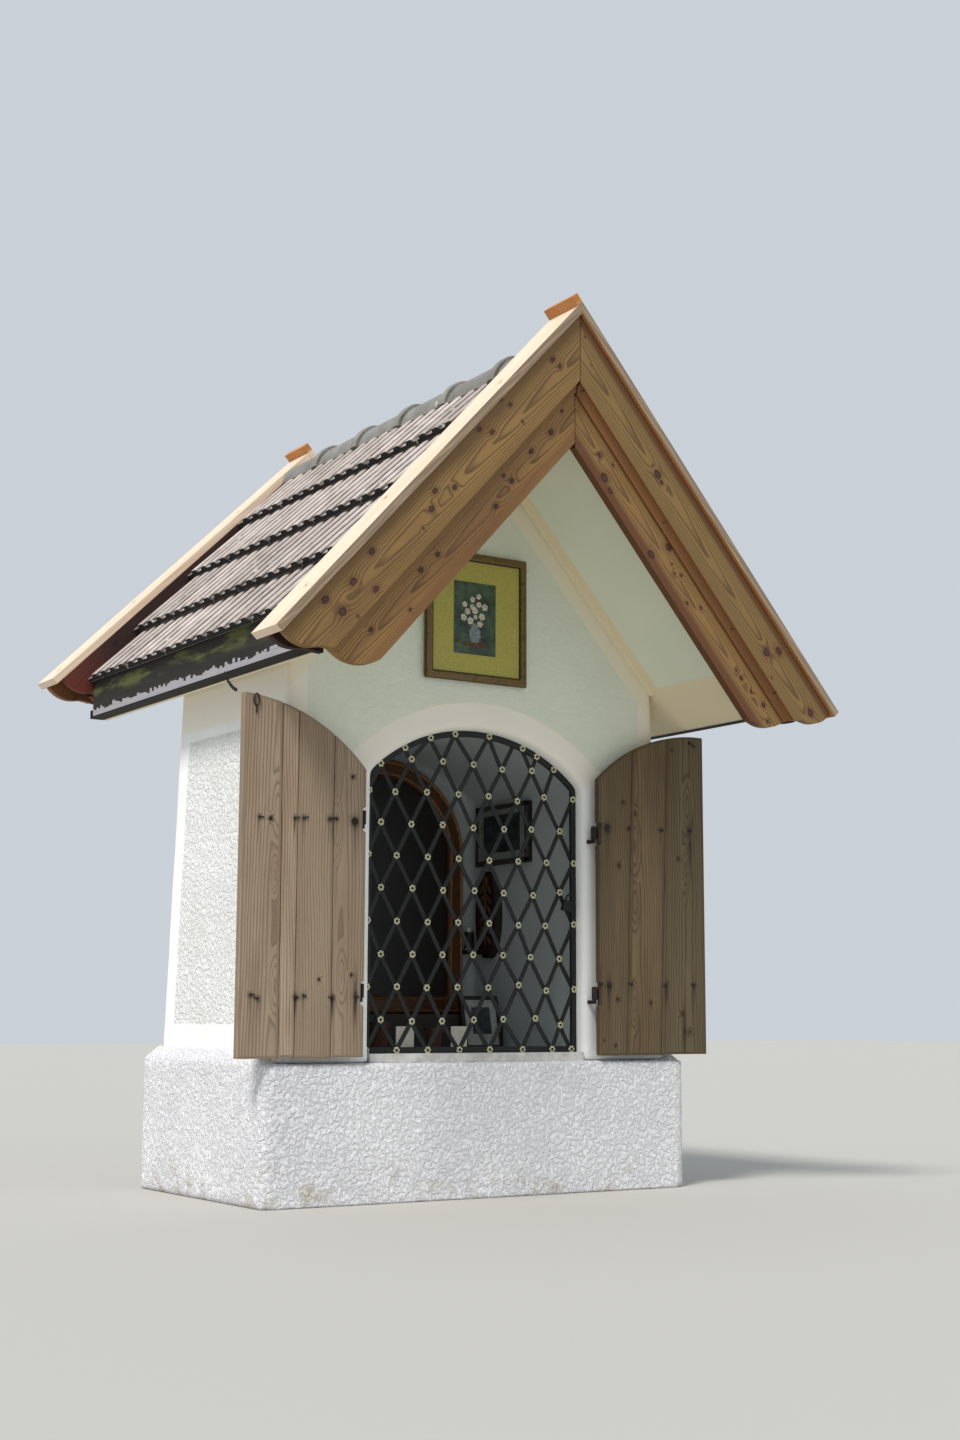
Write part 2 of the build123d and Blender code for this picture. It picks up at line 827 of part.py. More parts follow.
with BuildPart() as pintles:
    for height in hinge_heights:
        foot = height - knuckle_length / 2 - 1 - pintle_bar
        axes = [(side * hinge_places[side], hinge_y) for side in (-1, 1)]
        with BuildSketch(Plane.XY.offset(foot)):
            for axis_x, axis_y in axes:
                with Locations((axis_x, (axis_y + front_face - seat) / 2)):
                    Rectangle(pintle_bar, front_face - seat - axis_y)
                with Locations((axis_x, axis_y)):
                    Circle(pintle_bar / 2)
        extrude(amount=pintle_bar)
        with BuildSketch(Plane.XY.offset(foot + pintle_bar)):
            with Locations(*axes):
                Circle(pin_radius)
        extrude(amount=knuckle_length + pin_rise + 1)
save(pintles, "shutter_pintles")

# Iron grille: a bent frame with diagonal bars fused where they cross
grille_y = front_face + grille_setback
frame_half = niche_half_width - seat
frame_outer_radius = arch_radius - seat
frame_foot = sill_height + seat


def grille_outline(plane, inset, bar=0):
    """Outline of the grille drawn in from its outer edge, or the bent frame bar."""
    return arched(
        plane,
        frame_half - inset,
        frame_foot + inset,
        arch_crown - seat - inset,
        frame_outer_radius - inset,
        bar,
    )


column_pitch = 2 * (frame_half - frame_bar / 2) / lattice_columns
bar_slant = sqrt(column_pitch**2 + lattice_rise**2) / lattice_rise
lattice_rows = 12
with BuildPart() as grille:
    low = frame_foot + frame_bar / 2
    high = low + lattice_rows * lattice_rise
    half_bar = lattice_bar / 2 * bar_slant
    with BuildSketch(across(grille_y + lattice_depth / 2)):
        for direction in (-1, 1):
            for number in range(-lattice_rows, lattice_columns + lattice_rows + 1, 2):
                foot_x = -frame_half + frame_bar / 2 + number * column_pitch
                head_x = foot_x + direction * lattice_rows * column_pitch
                with BuildLine():
                    Polyline(
                        (foot_x - half_bar, low),
                        (foot_x + half_bar, low),
                        (head_x + half_bar, high),
                        (head_x - half_bar, high),
                        close=True,
                    )
                make_face()
    extrude(amount=lattice_depth)
    field = grille_outline(across(grille_y + lattice_depth / 2), frame_bar / 2)
    extrude(field, amount=lattice_depth, mode=Mode.INTERSECT)
    frame = grille_outline(across(grille_y + frame_depth / 2), 0, frame_bar)
    extrude(frame, amount=frame_depth)
save(grille, "grille")

lock_x = frame_half - lock_inset
lock_y = grille_y - lattice_depth / 2 - seat
with BuildPart() as padlock:
    with BuildSketch(across(lock_y)):
        with Locations((lock_x, sill_height + lock_rise)):
            RectangleRounded(lock_width, lock_height, lock_corner)
    extrude(amount=lock_thickness)
save(padlock, "padlock")

# Framed picture on the gable
with BuildPart() as picture_frame:
    with BuildSketch(across(front_face - seat)):
        with Locations((picture_centre_x, picture_bottom + picture_height / 2)):
            Rectangle(picture_width, picture_height)
            Rectangle(picture_width - 2 * picture_bar, picture_height - 2 * picture_bar, mode=Mode.SUBTRACT)
    extrude(amount=picture_depth)
save(picture_frame, "gable_picture_frame")

with BuildPart() as picture_panel:
    with BuildSketch(across(front_face - seat)):
        with Locations((picture_centre_x, picture_bottom + picture_height / 2)):
            Rectangle(
                picture_width - 2 * picture_bar - 2 * seat,
                picture_height - 2 * picture_bar - 2 * seat,
            )
    extrude(amount=picture_depth * 0.6)
save(picture_panel, "gable_picture_panel")

# Altar step, altarpiece and the fittings inside the niche
altar_front = niche_back - seat - altar_depth
with BuildPart() as altar:
    with BuildSketch(Plane.XY.offset(sill_height + seat)):
        with Locations((0, altar_front + altar_depth / 2)):
            Rectangle(2 * (niche_half_width - altar_end_gap), altar_depth)
    extrude(amount=altar_height - seat)
save(altar, "altar")


def altarpiece_outline(inset, bar=0):
    """Arched outline of the altarpiece on the back of the niche."""
    return arched(
        across(niche_back - seat),
        altarpiece_half_width - inset,
        altarpiece_bottom + inset,
        altarpiece_top - inset,
        altarpiece_radius - inset,
        bar,
    )


with BuildPart() as altarpiece_frame:
    extrude(altarpiece_outline(0, altarpiece_bar), amount=altarpiece_depth)
save(altarpiece_frame, "altarpiece_frame")

with BuildPart() as altarpiece_panel:
    extrude(altarpiece_outline(altarpiece_bar + seat), amount=altarpiece_depth * 0.5)
save(altarpiece_panel, "altarpiece_panel")

right_cheek = Plane(origin=(niche_half_width - seat, 0, 0), x_dir=(0, 1, 0), z_dir=(-1, 0, 0))
upward = 1 if right_cheek.y_dir.Z > 0 else -1
with BuildPart() as side_picture:
    centre_y = niche_back - side_picture_setback + side_picture_length / 2
    centre_z = sill_height + side_picture_rise + side_picture_height / 2
    with BuildSketch(right_cheek):
        with Locations((centre_y, upward * centre_z)):
            Rectangle(side_picture_length, side_picture_height)
    extrude(amount=side_picture_depth)
save(side_picture, "side_picture")

with BuildPart() as carved_plaque:
    centre_y = niche_back - plaque_setback
    centre_z = sill_height + plaque_rise + plaque_height / 2
    with BuildSketch(right_cheek):
        with Locations((centre_y, upward * centre_z)):
            Ellipse(plaque_width / 2, plaque_height / 2)
    extrude(amount=plaque_depth)
save(carved_plaque, "carved_plaque")

with BuildPart() as candle_bracket:
    bracket_y = niche_back - seat - bracket_width / 2
    bracket_z = sill_height + bracket_rise - bracket_thickness
    bracket_x = niche_half_width - seat - bracket_reach / 2
    with BuildSketch(Plane.XY.offset(bracket_z)):
        with Locations((bracket_x, bracket_y)):
            Rectangle(bracket_reach, bracket_width)
    extrude(amount=bracket_thickness)
    with BuildSketch(Plane.XY.offset(bracket_z + bracket_thickness)):
        with Locations((bracket_x, bracket_y)):
            Circle(candle_radius)
    extrude(amount=candle_height)
save(candle_bracket, "candle_bracket")

with BuildPart() as leaning_picture:
    lean = radians(leaning_angle)
    foot_y = altar_front - seat / cos(lean) - altar_height * tan(lean)
    leaning_plane = Plane(
        origin=(leaning_x, foot_y, sill_height + seat),
        x_dir=(1, 0, 0),
        z_dir=(0, -cos(lean), sin(lean)),
    )
    with BuildSketch(leaning_plane):
        with Locations((0, leaning_height / 2)):
            Rectangle(leaning_width, leaning_height)
    extrude(amount=leaning_thickness)
save(leaning_picture, "leaning_picture")
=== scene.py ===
import math
import random

import bmesh
import bpy
from mathutils import Matrix, Vector


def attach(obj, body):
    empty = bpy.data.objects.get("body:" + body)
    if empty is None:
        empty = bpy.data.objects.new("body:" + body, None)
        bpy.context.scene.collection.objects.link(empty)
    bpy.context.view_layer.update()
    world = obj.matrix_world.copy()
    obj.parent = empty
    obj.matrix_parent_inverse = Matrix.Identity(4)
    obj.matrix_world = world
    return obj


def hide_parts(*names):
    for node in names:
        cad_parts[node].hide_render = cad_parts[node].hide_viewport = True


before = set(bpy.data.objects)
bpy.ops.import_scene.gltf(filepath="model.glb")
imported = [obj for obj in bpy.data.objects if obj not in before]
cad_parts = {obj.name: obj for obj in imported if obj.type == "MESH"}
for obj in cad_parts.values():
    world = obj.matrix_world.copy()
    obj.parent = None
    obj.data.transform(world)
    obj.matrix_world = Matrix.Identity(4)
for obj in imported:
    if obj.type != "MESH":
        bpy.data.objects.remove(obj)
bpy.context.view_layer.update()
print("frame loaded")

# the places that part.py gives, here in metres
roof = dict(pitch=math.radians(48.2), apex=2.615, front=-0.890, rear=0.960, capWidth=0.147)
walls = dict(front=-0.375, rear=0.375, foot=0.395, halfWidth=0.703, batter=0.033)
niche = dict(half=0.382, sill=0.420, spring=1.245, crown=1.398, back=0.265)
niche["radius"] = (niche["half"] ** 2 + 0.153 ** 2) / (2 * 0.153)
seed = random.Random(11)
weldGap = 0.00002    # CAD vertices closer than this are one


# ---- small tools

def linear(hexColour):
    # sRGB hex to the linear values that the shader wants
    parts = [int(hexColour[i:i + 2], 16) / 255 for i in (1, 3, 5)]
    return [c / 12.92 if c <= 0.04045 else ((c + 0.055) / 1.055) ** 2.4 for c in parts] + [1.0]


def perMetre(millimetres):
    # texture scale for a pattern whose real size is given in millimetres
    return 1000.0 / millimetres


def setInput(tree, socket, value):
    # links another socket, or sets a hex colour, number or vector
    if isinstance(value, bpy.types.NodeSocket):
        tree.links.new(value, socket)
    else:
        socket.default_value = linear(value) if isinstance(value, str) else value


def addNode(tree, kind, options=None, *values, **named):
    # adds one shader node: its options, then its sockets in their order and by name
    node = tree.nodes.new("ShaderNode" + kind)
    for key, value in (options or {}).items():
        setattr(node, key, value)
    for key, value in [*enumerate(values), *named.items()]:
        setInput(tree, node.inputs[key], value)
    return node


def startMaterial(name, roughness=0.8, metallic=0.0, ior=1.5):
    # returns the material, its tree, its Principled shader and the object coordinates
    material = bpy.data.materials.new(name)
    material.use_nodes = True
    tree = material.node_tree
    shader = tree.nodes["Principled BSDF"]
    shader.inputs["Roughness"].default_value = roughness
    shader.inputs["Metallic"].default_value = metallic
    if not metallic:
        shader.inputs["IOR"].default_value = ior
    return material, tree, shader, addNode(tree, "TexCoord").outputs["Object"]


def endMaterial(material, tree, shader, colour, relief):
    setInput(tree, shader.inputs["Base Color"], colour)
    setInput(tree, shader.inputs["Normal"], relief)
    return material


def roundEdges(bm, edges, width, segments):
    # returns the new faces
    cut = bmesh.ops.bevel(
        bm, geom=list(edges), offset=width, affect="EDGES", segments=segments, profile=0.5, material=-1,
    )
    return cut["faces"]


def box(bm, low, high, bevel, turn=None, segments=2):
    # a box with rounded arrises, turned about its own middle
    low, high = Vector(low), Vector(high)
    verts = bmesh.ops.create_cube(bm, size=1.0, matrix=Matrix.Diagonal((*(high - low), 1.0)))["verts"]
    faces = roundEdges(bm, {e for v in verts for e in v.link_edges}, bevel, segments)
    verts = list({v for f in faces for v in f.verts} | {v for v in verts if v.is_valid})
    place = Matrix.Translation((low + high) / 2)
    bmesh.ops.transform(bm, matrix=place @ turn if turn else place, verts=verts)


def rod(bm, points, radius, closed=False, sides=2):
    # a round rod bent along the points
    curve = bpy.data.curves.new("rod", "CURVE")
    curve.dimensions = "3D"
    curve.bevel_depth = radius
    curve.bevel_resolution = sides
    curve.use_fill_caps = not closed
    spline = curve.splines.new("POLY")
    spline.points.add(len(points) - 1)
    for point, place in zip(spline.points, points):
        point.co = (*place, 1.0)
    spline.use_cyclic_u = closed
    holder = bpy.data.objects.new("rod", curve)
    mesh = bpy.data.meshes.new_from_object(holder)
    bm.from_mesh(mesh)
    bpy.data.objects.remove(holder)
    bpy.data.curves.remove(curve)
    bpy.data.meshes.remove(mesh)


def turns(count):
    # equal steps of one full turn
    return [math.tau * i / count for i in range(count)]


def pebble(bm, centre, half, turn=None, segments=8, rings=6, paint=0):
    # a rounded lump with the half sizes given, in the piece's material of that number
    place = Matrix.Translation(centre) @ (turn or Matrix.Identity(4)) @ Matrix.Diagonal((*half, 1.0))
    verts = bmesh.ops.create_uvsphere(bm, u_segments=segments, v_segments=rings, radius=1.0, matrix=place)["verts"]
    for face in {f for v in verts for f in v.link_faces}:
        face.material_index = paint


def towards(x, y, z):
    # the turn that takes the three axes to these directions
    return Matrix((x, y, z)).transposed().to_4x4()


def newLayer(bm, name):
    return bm.verts.layers.float.new(name)


def farVerts(pushed):
    # the vertices of an extrusion's moved end
    return [g for g in pushed["geom"] if isinstance(g, bmesh.types.BMVert)]


def finishPiece(name, bm, material, body="chapel", replaces=(), smooth=35.0, extra=()):
    # turns the bmesh into the finished object and hands it to the frame
    mesh = bpy.data.meshes.new(name)
    bm.to_mesh(mesh)
    bm.free()
    for polygon in mesh.polygons:
        polygon.use_smooth = True
    mesh.set_sharp_from_angle(angle=math.radians(smooth))
    for each in (material, *extra):
        mesh.materials.append(each)
    piece = bpy.data.objects.new(name, mesh)
    bpy.context.scene.collection.objects.link(piece)
    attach(piece, body)
    if replaces:
        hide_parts(*replaces)


def softenNode(node, width, segments=2, angle=40.0):
    # rounds the arrises of a CAD solid that stays
    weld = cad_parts[node].modifiers.new("weld", "WELD")
    weld.merge_threshold = weldGap
    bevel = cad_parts[node].modifiers.new("arris", "BEVEL")
    bevel.width = width
    bevel.segments = segments
    bevel.limit_method = "ANGLE"
    bevel.angle_limit = math.radians(angle)


def dress(material, *nodes):
    for node in nodes:
        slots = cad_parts[node].data.materials
        slots.clear()
        slots.append(material)


def weldedCopy(node):
    # a CAD solid as a bmesh of its own
    copy = bmesh.new()
    copy.from_mesh(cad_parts[node].data)
    bmesh.ops.remove_doubles(copy, verts=copy.verts, dist=weldGap)
    return copy


# ---- camera and light

camera = dict(place=(-3.211, -5.2985, 0.5273), yaw=33.06, up=8.72, roll=0.20, lens=48.37)

eye = bpy.data.cameras.new("camera")
eye.lens = camera["lens"]
eye.sensor_width = 36.0
eye.sensor_fit = "AUTO"
viewer = bpy.data.objects.new("camera", eye)
viewer.matrix_world = (
    Matrix.Translation(camera["place"])
    @ Matrix.Rotation(math.radians(-camera["yaw"]), 4, "Z")
    @ Matrix.Rotation(math.radians(90 + camera["up"]), 4, "X")
    @ Matrix.Rotation(math.radians(camera["roll"]), 4, "Z")
)
bpy.context.scene.collection.objects.link(viewer)
bpy.context.scene.camera = viewer

studio = dict(
    sky="#dfe6ee", skyStrength=0.80, keyPower=3.0, keySoftness=14.0, keyFrom=(-0.72, -0.42, 1.15),
    keyColour=(1.0, 0.98, 0.945), floor="#b4b2ac", floorSize=30.0,
)

world = bpy.data.worlds.new("studio")
world.use_nodes = True
backdrop = world.node_tree.nodes["Background"]
backdrop.inputs["Color"].default_value = linear(studio["sky"])
backdrop.inputs["Strength"].default_value = studio["skyStrength"]
bpy.context.scene.world = world
bpy.context.scene.view_settings.view_transform = "Standard"

key = bpy.data.lights.new("key", "SUN")
key.energy = studio["keyPower"]
key.angle = math.radians(studio["keySoftness"])
key.color = studio["keyColour"]
keyLamp = bpy.data.objects.new("key", key)
keyLamp.rotation_euler = Vector(studio["keyFrom"]).to_track_quat("Z", "Y").to_euler()
bpy.context.scene.collection.objects.link(keyLamp)

bm = bmesh.new()
bmesh.ops.create_grid(bm, x_segments=1, y_segments=1, size=studio["floorSize"])
floorMesh = bpy.data.meshes.new("floor")
bm.to_mesh(floorMesh)
bm.free()
floorSheet = bpy.data.objects.new("floor", floorMesh)
floorMaterial, floorTree, floorShader = startMaterial("paleFloor", roughness=0.9)[:3]
setInput(floorTree, floorShader.inputs["Base Color"], studio["floor"])
floorMesh.materials.append(floorMaterial)
bpy.context.scene.collection.objects.link(floorSheet)
print("camera and light")


# ---- finishes

def calc(tree, operation, *values):
    # one sum; the values are numbers or sockets
    return addNode(tree, "Math", dict(operation=operation), *values).outputs[0]


def axes(tree, place):
    # the three coordinates of a place
    return addNode(tree, "SeparateXYZ", None, place).outputs[:3]


def join(tree, *parts):
    return addNode(tree, "CombineXYZ", None, *parts).outputs[0]


def magnitude(tree, vector):
    return addNode(tree, "VectorMath", dict(operation="LENGTH"), vector).outputs["Value"]


def noise(tree, place, size, detail=2.0, roughness=0.5):
    # noise with features so many millimetres wide
    node = addNode(tree, "TexNoise", None, Vector=place, Scale=perMetre(size), Detail=detail, Roughness=roughness)
    return node.outputs[0]


def cells(tree, place, size):
    # distance from the middle of each cell, cells so many millimetres wide
    return addNode(tree, "TexVoronoi", None, Vector=place, Scale=perMetre(size)).outputs["Distance"]


def chance(tree, value):
    # another random number for each whole value
    return addNode(tree, "TexWhiteNoise", dict(noise_dimensions="1D"), W=value).outputs["Value"]


def attribute(tree, name):
    return addNode(tree, "Attribute", dict(attribute_name=name)).outputs["Fac"]


def ramp(tree, value, low, high, first, second):
    # first under low, second over high, straight between
    return addNode(tree, "MapRange", None, value, low, high, first, second).outputs["Result"]


def step(tree, value, low, high):
    # 0 under low, 1 over high, smooth between
    return addNode(tree, "MapRange", dict(interpolation_type="SMOOTHSTEP"), value, low, high).outputs["Result"]


def both(tree, *values):
    # product of several masks
    result = values[0]
    for value in values[1:]:
        result = calc(tree, "MULTIPLY", result, value)
    return result


def blend(tree, factor, first, second):
    # mixes two colours, each a hex value or a socket
    mix = addNode(tree, "Mix", dict(data_type="RGBA"), factor)
    setInput(tree, mix.inputs[6], first)
    setInput(tree, mix.inputs[7], second)
    return mix.outputs[2]


def relief(tree, height, distance, strength, under=None):
    # bump so many metres high, on top of another
    bump = addNode(tree, "Bump", None, Height=height, Distance=distance, Strength=strength)
    if under:
        setInput(tree, bump.inputs["Normal"], under)
    return bump.outputs[0]


def slopeDepth(tree, x, z):
    # metres under the top plane of the roof, the same on both slopes
    mirrored = join(tree, calc(tree, "ABSOLUTE", x), 0.0, z)
    down = (-math.sin(roof["pitch"]), 0.0, -math.cos(roof["pitch"]))
    under = addNode(tree, "VectorMath", dict(operation="DOT_PRODUCT"), mirrored, down).outputs["Value"]
    return calc(tree, "ADD", under, roof["apex"] * math.cos(roof["pitch"]))


def limeRender(name, coat):
    # lime render, limewashed: matt and chalky, with thrown grit where the coat is rough
    material, tree, shader, place = startMaterial(name, roughness=0.92)
    x, y, z = axes(tree, place)
    blotch = noise(tree, place, 260, 4.0, 0.6)
    colour = blend(tree, ramp(tree, blotch, 0.3, 0.62, 0.0, 1.0), coat["shade"], coat["light"])
    soft = relief(tree, noise(tree, place, coat["trowel"], 5.0, 0.62), 0.0015, 0.5)
    # grit: lumps of about 14 mm with pits between them; the pits get painted shade
    grit = noise(tree, place, coat["grit"], 4.0, 0.62)
    grains = cells(tree, place, coat["grit"] * 1.3)
    lumps = calc(tree, "MULTIPLY_ADD", grains, -0.35, step(tree, grit, 0.38, 0.64))
    if coat["mask"] == "all":
        # painted shade in the pits of the grit
        colour = blend(tree, step(tree, grit, 0.36, 0.28), colour, coat["pitShade"])
        # splash and moss stain low down on the plinth
        splash = both(tree, step(tree, z, 0.16, 0.0), step(tree, noise(tree, place, 70, 4.0), 0.5, 0.75))
        colour = blend(tree, splash, colour, coat["splash"])
        return endMaterial(material, tree, shader, colour, relief(tree, lumps, coat["relief"], 0.9, soft))
    # the side walls are rough inside a smooth border
    side = calc(tree, "ABSOLUTE", x)
    front, rear, edge = walls["front"], walls["rear"], coat["border"]
    flank = step(tree, side, 0.60, 0.61)
    rough = both(
        tree, flank, step(tree, y, front + edge, front + edge + 0.012), step(tree, y, rear - edge, rear - edge - 0.012),
        step(tree, z, 0.500, 0.512), step(tree, z, 1.385, 1.375),
    )
    # painted shade in the pits of the grit on the rough field
    colour = blend(tree, both(tree, rough, step(tree, grit, 0.39, 0.30)), colour, coat["pitShade"])
    bump = relief(tree, both(tree, lumps, rough), coat["relief"], 0.9, soft)
    # the field of the front is stippled and tinted green as painted bounce light from the grass; the bands along slope,
    # corner and arch are smooth and creamier
    forward = step(tree, y, front + 0.02, front + 0.012)
    depth = slopeDepth(tree, x, z)
    ring = magnitude(tree, join(tree, x, 0.0, calc(tree, "SUBTRACT", z, niche["crown"] - niche["radius"])))
    arch, corner = niche["radius"], walls["halfWidth"] - 0.100
    field = both(
        tree, forward, step(tree, depth, 0.266, 0.270), step(tree, ring, arch + 0.078, arch + 0.083),
        step(tree, side, corner + 0.006, corner), step(tree, z, 1.26, 1.28),
    )
    stipple = both(tree, step(tree, noise(tree, place, 9, 3.0, 0.6), 0.35, 0.7), field)
    bump = relief(tree, stipple, 0.0022, 0.55, bump)
    colour = blend(tree, field, colour, blend(tree, blotch, coat["fieldLight"], coat["fieldShade"]))
    for band in (
        both(tree, forward, step(tree, depth, 0.270, 0.266)),
        both(tree, forward, step(tree, side, corner, corner + 0.006), step(tree, z, 1.24, 1.30), 0.7),
        both(tree, forward, step(tree, ring, arch + 0.088, arch + 0.084), step(tree, z, 1.22, 1.27), 0.6),
        # painted shade under the eaves: the top strip of the side walls takes the creamy band tone
        both(tree, flank, step(tree, y, front + 0.012, front + 0.02), step(tree, z, 1.400, 1.425), 0.6),
    ):
        colour = blend(tree, band, colour, coat["band"])
    # painted shade: greyer walls inside the niche
    within = both(
        tree, step(tree, side, niche["half"] + 0.012, niche["half"] + 0.006), step(tree, y, -0.345, -0.300),
        step(tree, y, 0.290, 0.280), step(tree, z, 1.43, 1.41), 0.62,
    )
    return endMaterial(material, tree, shader, blend(tree, within, colour, coat["paintedShade"]), bump)


wallCoat = dict(
    mask="side", light="#f9f9f7", shade="#efefeb", pitShade="#d3d4d3", trowel=18, grit=14, relief=0.005, paintedShade="#87999b",
    # fieldLight and fieldShade carry a green tint of painted bounce light from the grass
    border=0.080, fieldLight="#ebefe0", fieldShade="#dee3d2", band="#f0e8d3",
)
plinthCoat = dict(
    mask="all", light="#f8f7f9", shade="#ecebee", pitShade="#cfced2", splash="#cdc8b6", trowel=10, grit=13, relief=0.006,
)
limewashedWall = limeRender("limewashedWall", wallCoat)
roughcastPlinth = limeRender("roughcastPlinth", plinthCoat)


def boardGrain(slopes, jointX, apex, face, flat=False):
    # down each sloping board from the apex, under its top edge, behind its face; right boards start at 10 m
    def grain(tree, place):
        x, y, z = axes(tree, place)
        aside = calc(tree, "SUBTRACT", x, jointX)
        flip = calc(tree, "SIGN", aside)
        away = calc(tree, "ABSOLUTE", aside)
        drop = calc(tree, "SUBTRACT", apex, z)
        cosine = ramp(tree, flip, -1.0, 1.0, *(math.cos(math.radians(a)) for a in slopes))
        sine = ramp(tree, flip, -1.0, 1.0, *(math.sin(math.radians(a)) for a in slopes))
        along = calc(tree, "MULTIPLY_ADD", away, cosine, ramp(tree, flip, -1.0, 1.0, 0.0, 10.0))
        along = calc(tree, "MULTIPLY_ADD", drop, sine, along)
        depth = calc(tree, "SUBTRACT", both(tree, drop, cosine), both(tree, away, sine))
        behind = calc(tree, "SUBTRACT", y, face)
        return join(tree, along, *((behind, depth) if flat else (depth, behind)))
    return grain


def eaveGrain(tree, place):
    # along the eaves, up the face, then outwards
    x, y, z = axes(tree, place)
    return join(tree, y, z, x)


def battenGrain(tree, place):
    # along the width of the building
    x, y, z = axes(tree, place)
    return join(tree, x, z, y)


def plankGrain(tree, place):
    # the pieces with a grain map of their own
    return addNode(tree, "TexCoord").outputs["UV"]


def nearestSpot(tree, lined, spots, stretch):
    # distance to the nearest spot, counted in its own radius; spots are (along, across, radius) in millimetres
    nearest = None
    for along, across, radius in spots:
        drawn = radius * stretch
        location, scale = (-along / drawn, -across / radius, 0.0), (1000 / drawn, 1000 / radius, 0.0)
        spot = addNode(tree, "Mapping", None, Vector=lined, Location=location, Scale=scale).outputs[0]
        distance = magnitude(tree, spot)
        nearest = calc(tree, "MINIMUM", nearest, distance) if nearest else distance
    return nearest


def stretched(tree, lined, scale, detail=3.0):
    # noise drawn out along the grain
    return noise(tree, addNode(tree, "Mapping", None, Vector=lined, Scale=scale).outputs[0], 1000, detail, 0.55)


def timber(name, wood, grain):
    # flat-sawn softwood: growth rings cut at a slant, so that they run out in long tongues and swerve round the knots
    material, tree, shader, place = startMaterial(name, roughness=wood["roughness"])
    lined = grain(tree, place)
    along, across, thick = axes(tree, lined)
    offset = calc(tree, "SUBTRACT", across, wood["middle"] + 0.015)
    offset = calc(tree, "MULTIPLY_ADD", stretched(tree, lined, (1.3, 0.0, 3.0), 2.0), 0.030, offset)
    radial = magnitude(tree, join(tree, offset, calc(tree, "ADD", thick, wood["pith"])))
    rings = perMetre(wood["ring"])
    phase = calc(tree, "MULTIPLY_ADD", along, rings * wood["taper"], both(tree, radial, rings))
    phase = calc(tree, "MULTIPLY_ADD", stretched(tree, lined, (2.6, 16.0, 16.0)), wood["wild"], phase)
    knots = nearestSpot(tree, lined, wood["knots"], 1.3) if wood.get("knots") else None
    if wood.get("eyes"):
        swell = step(tree, nearestSpot(tree, lined, wood["eyes"], 5.5), 1.7, 0.0)
        phase = calc(tree, "MULTIPLY_ADD", swell, 3.2, phase)
    if knots:
        knots = calc(tree, "MULTIPLY_ADD", stretched(tree, lined, (70.0, 110.0, 110.0), 2.0), 0.55, knots)
        phase = calc(tree, "MULTIPLY_ADD", step(tree, knots, 3.4, 0.6), wood.get("swerve", 1.0), phase)
    wave = calc(tree, "FRACT", phase)
    latewood = both(tree, step(tree, wave, 0.42, 0.90), step(tree, wave, 1.0, 0.94))
    fibre = stretched(tree, lined, (7.0, 520.0, 520.0))
    broad = stretched(tree, lined, (1.8, 13.0, 13.0))
    colour = blend(tree, step(tree, broad, 0.3, 0.7), wood["pale"], wood["mid"])
    right = step(tree, along, 4.0, 6.0)
    if wood.get("planks"):
        # planks from different logs; each starts 10 m further on
        log = calc(tree, "FLOOR", calc(tree, "MULTIPLY_ADD", along, 0.1, 0.5))
        colour = blend(tree, both(tree, chance(tree, log), 0.65), colour, wood["planks"])
    if wood.get("other"):
        colour = blend(tree, both(tree, right, 0.75), colour, wood["other"])
    for axis, low, high, soft, hue, leftShare, rightShare in wood.get("bands", ()):
        value = dict(X=along, Y=across, Z=thick)[axis]
        band = both(
            tree, step(tree, value, low - soft, low + soft), step(tree, value, high + soft, high - soft),
            ramp(tree, right, 0.0, 1.0, leftShare, rightShare),
        )
        colour = blend(tree, band, colour, hue)
    figure = both(tree, latewood, ramp(tree, fibre, 0.25, 0.7, 0.35, 1.0), wood["figure"])
    colour = blend(tree, figure, colour, wood["late"])
    streak = both(tree, step(tree, fibre, 0.5, 0.85), step(tree, broad, 0.35, 0.7))
    colour = blend(tree, streak, colour, wood["streak"])
    if knots:
        heart = wood.get("knotHeart", wood["knotColour"])
        colour = blend(tree, both(tree, step(tree, knots, 2.6, 1.1), 0.40), colour, wood["halo"])
        colour = blend(tree, step(tree, knots, 1.22, 1.0), colour, wood["knotColour"])
        colour = blend(tree, step(tree, knots, 0.85, 0.6), colour, heart)
    if wood.get("joint"):
        # the dark plumb joint at the apex
        seam = calc(tree, "ABSOLUTE", calc(tree, "SUBTRACT", axes(tree, place)[0], wood["joint"]))
        colour = blend(tree, step(tree, seam, 0.0016, 0.0008), colour, wood["knotColour"])
    if wood.get("stain"):
        stain = both(tree, attribute(tree, "stain"), step(tree, fibre, 0.10, 0.45))
        colour = blend(tree, stain, colour, wood["stain"])
    height = calc(tree, "MULTIPLY_ADD", latewood, 0.6, fibre)
    return endMaterial(material, tree, shader, colour, relief(tree, height, wood["relief"], 0.6))


def further(knots):
    # knots of a right-hand board, which starts at 10 m
    return [(along + 10000, across, radius) for along, across, radius in knots]


verge = dict(front=(47.7, 49.1), frontJoint=0.014, frontApex=2.615, rear=(44.7, 44.7), rearJoint=0.026, rearApex=2.590)
softwood = dict(taper=0.030, relief=0.0006)
frontLarch = dict(softwood, roughness=0.62, ring=5.5, figure=0.92, joint=verge["frontJoint"], knotHeart="#512a19")
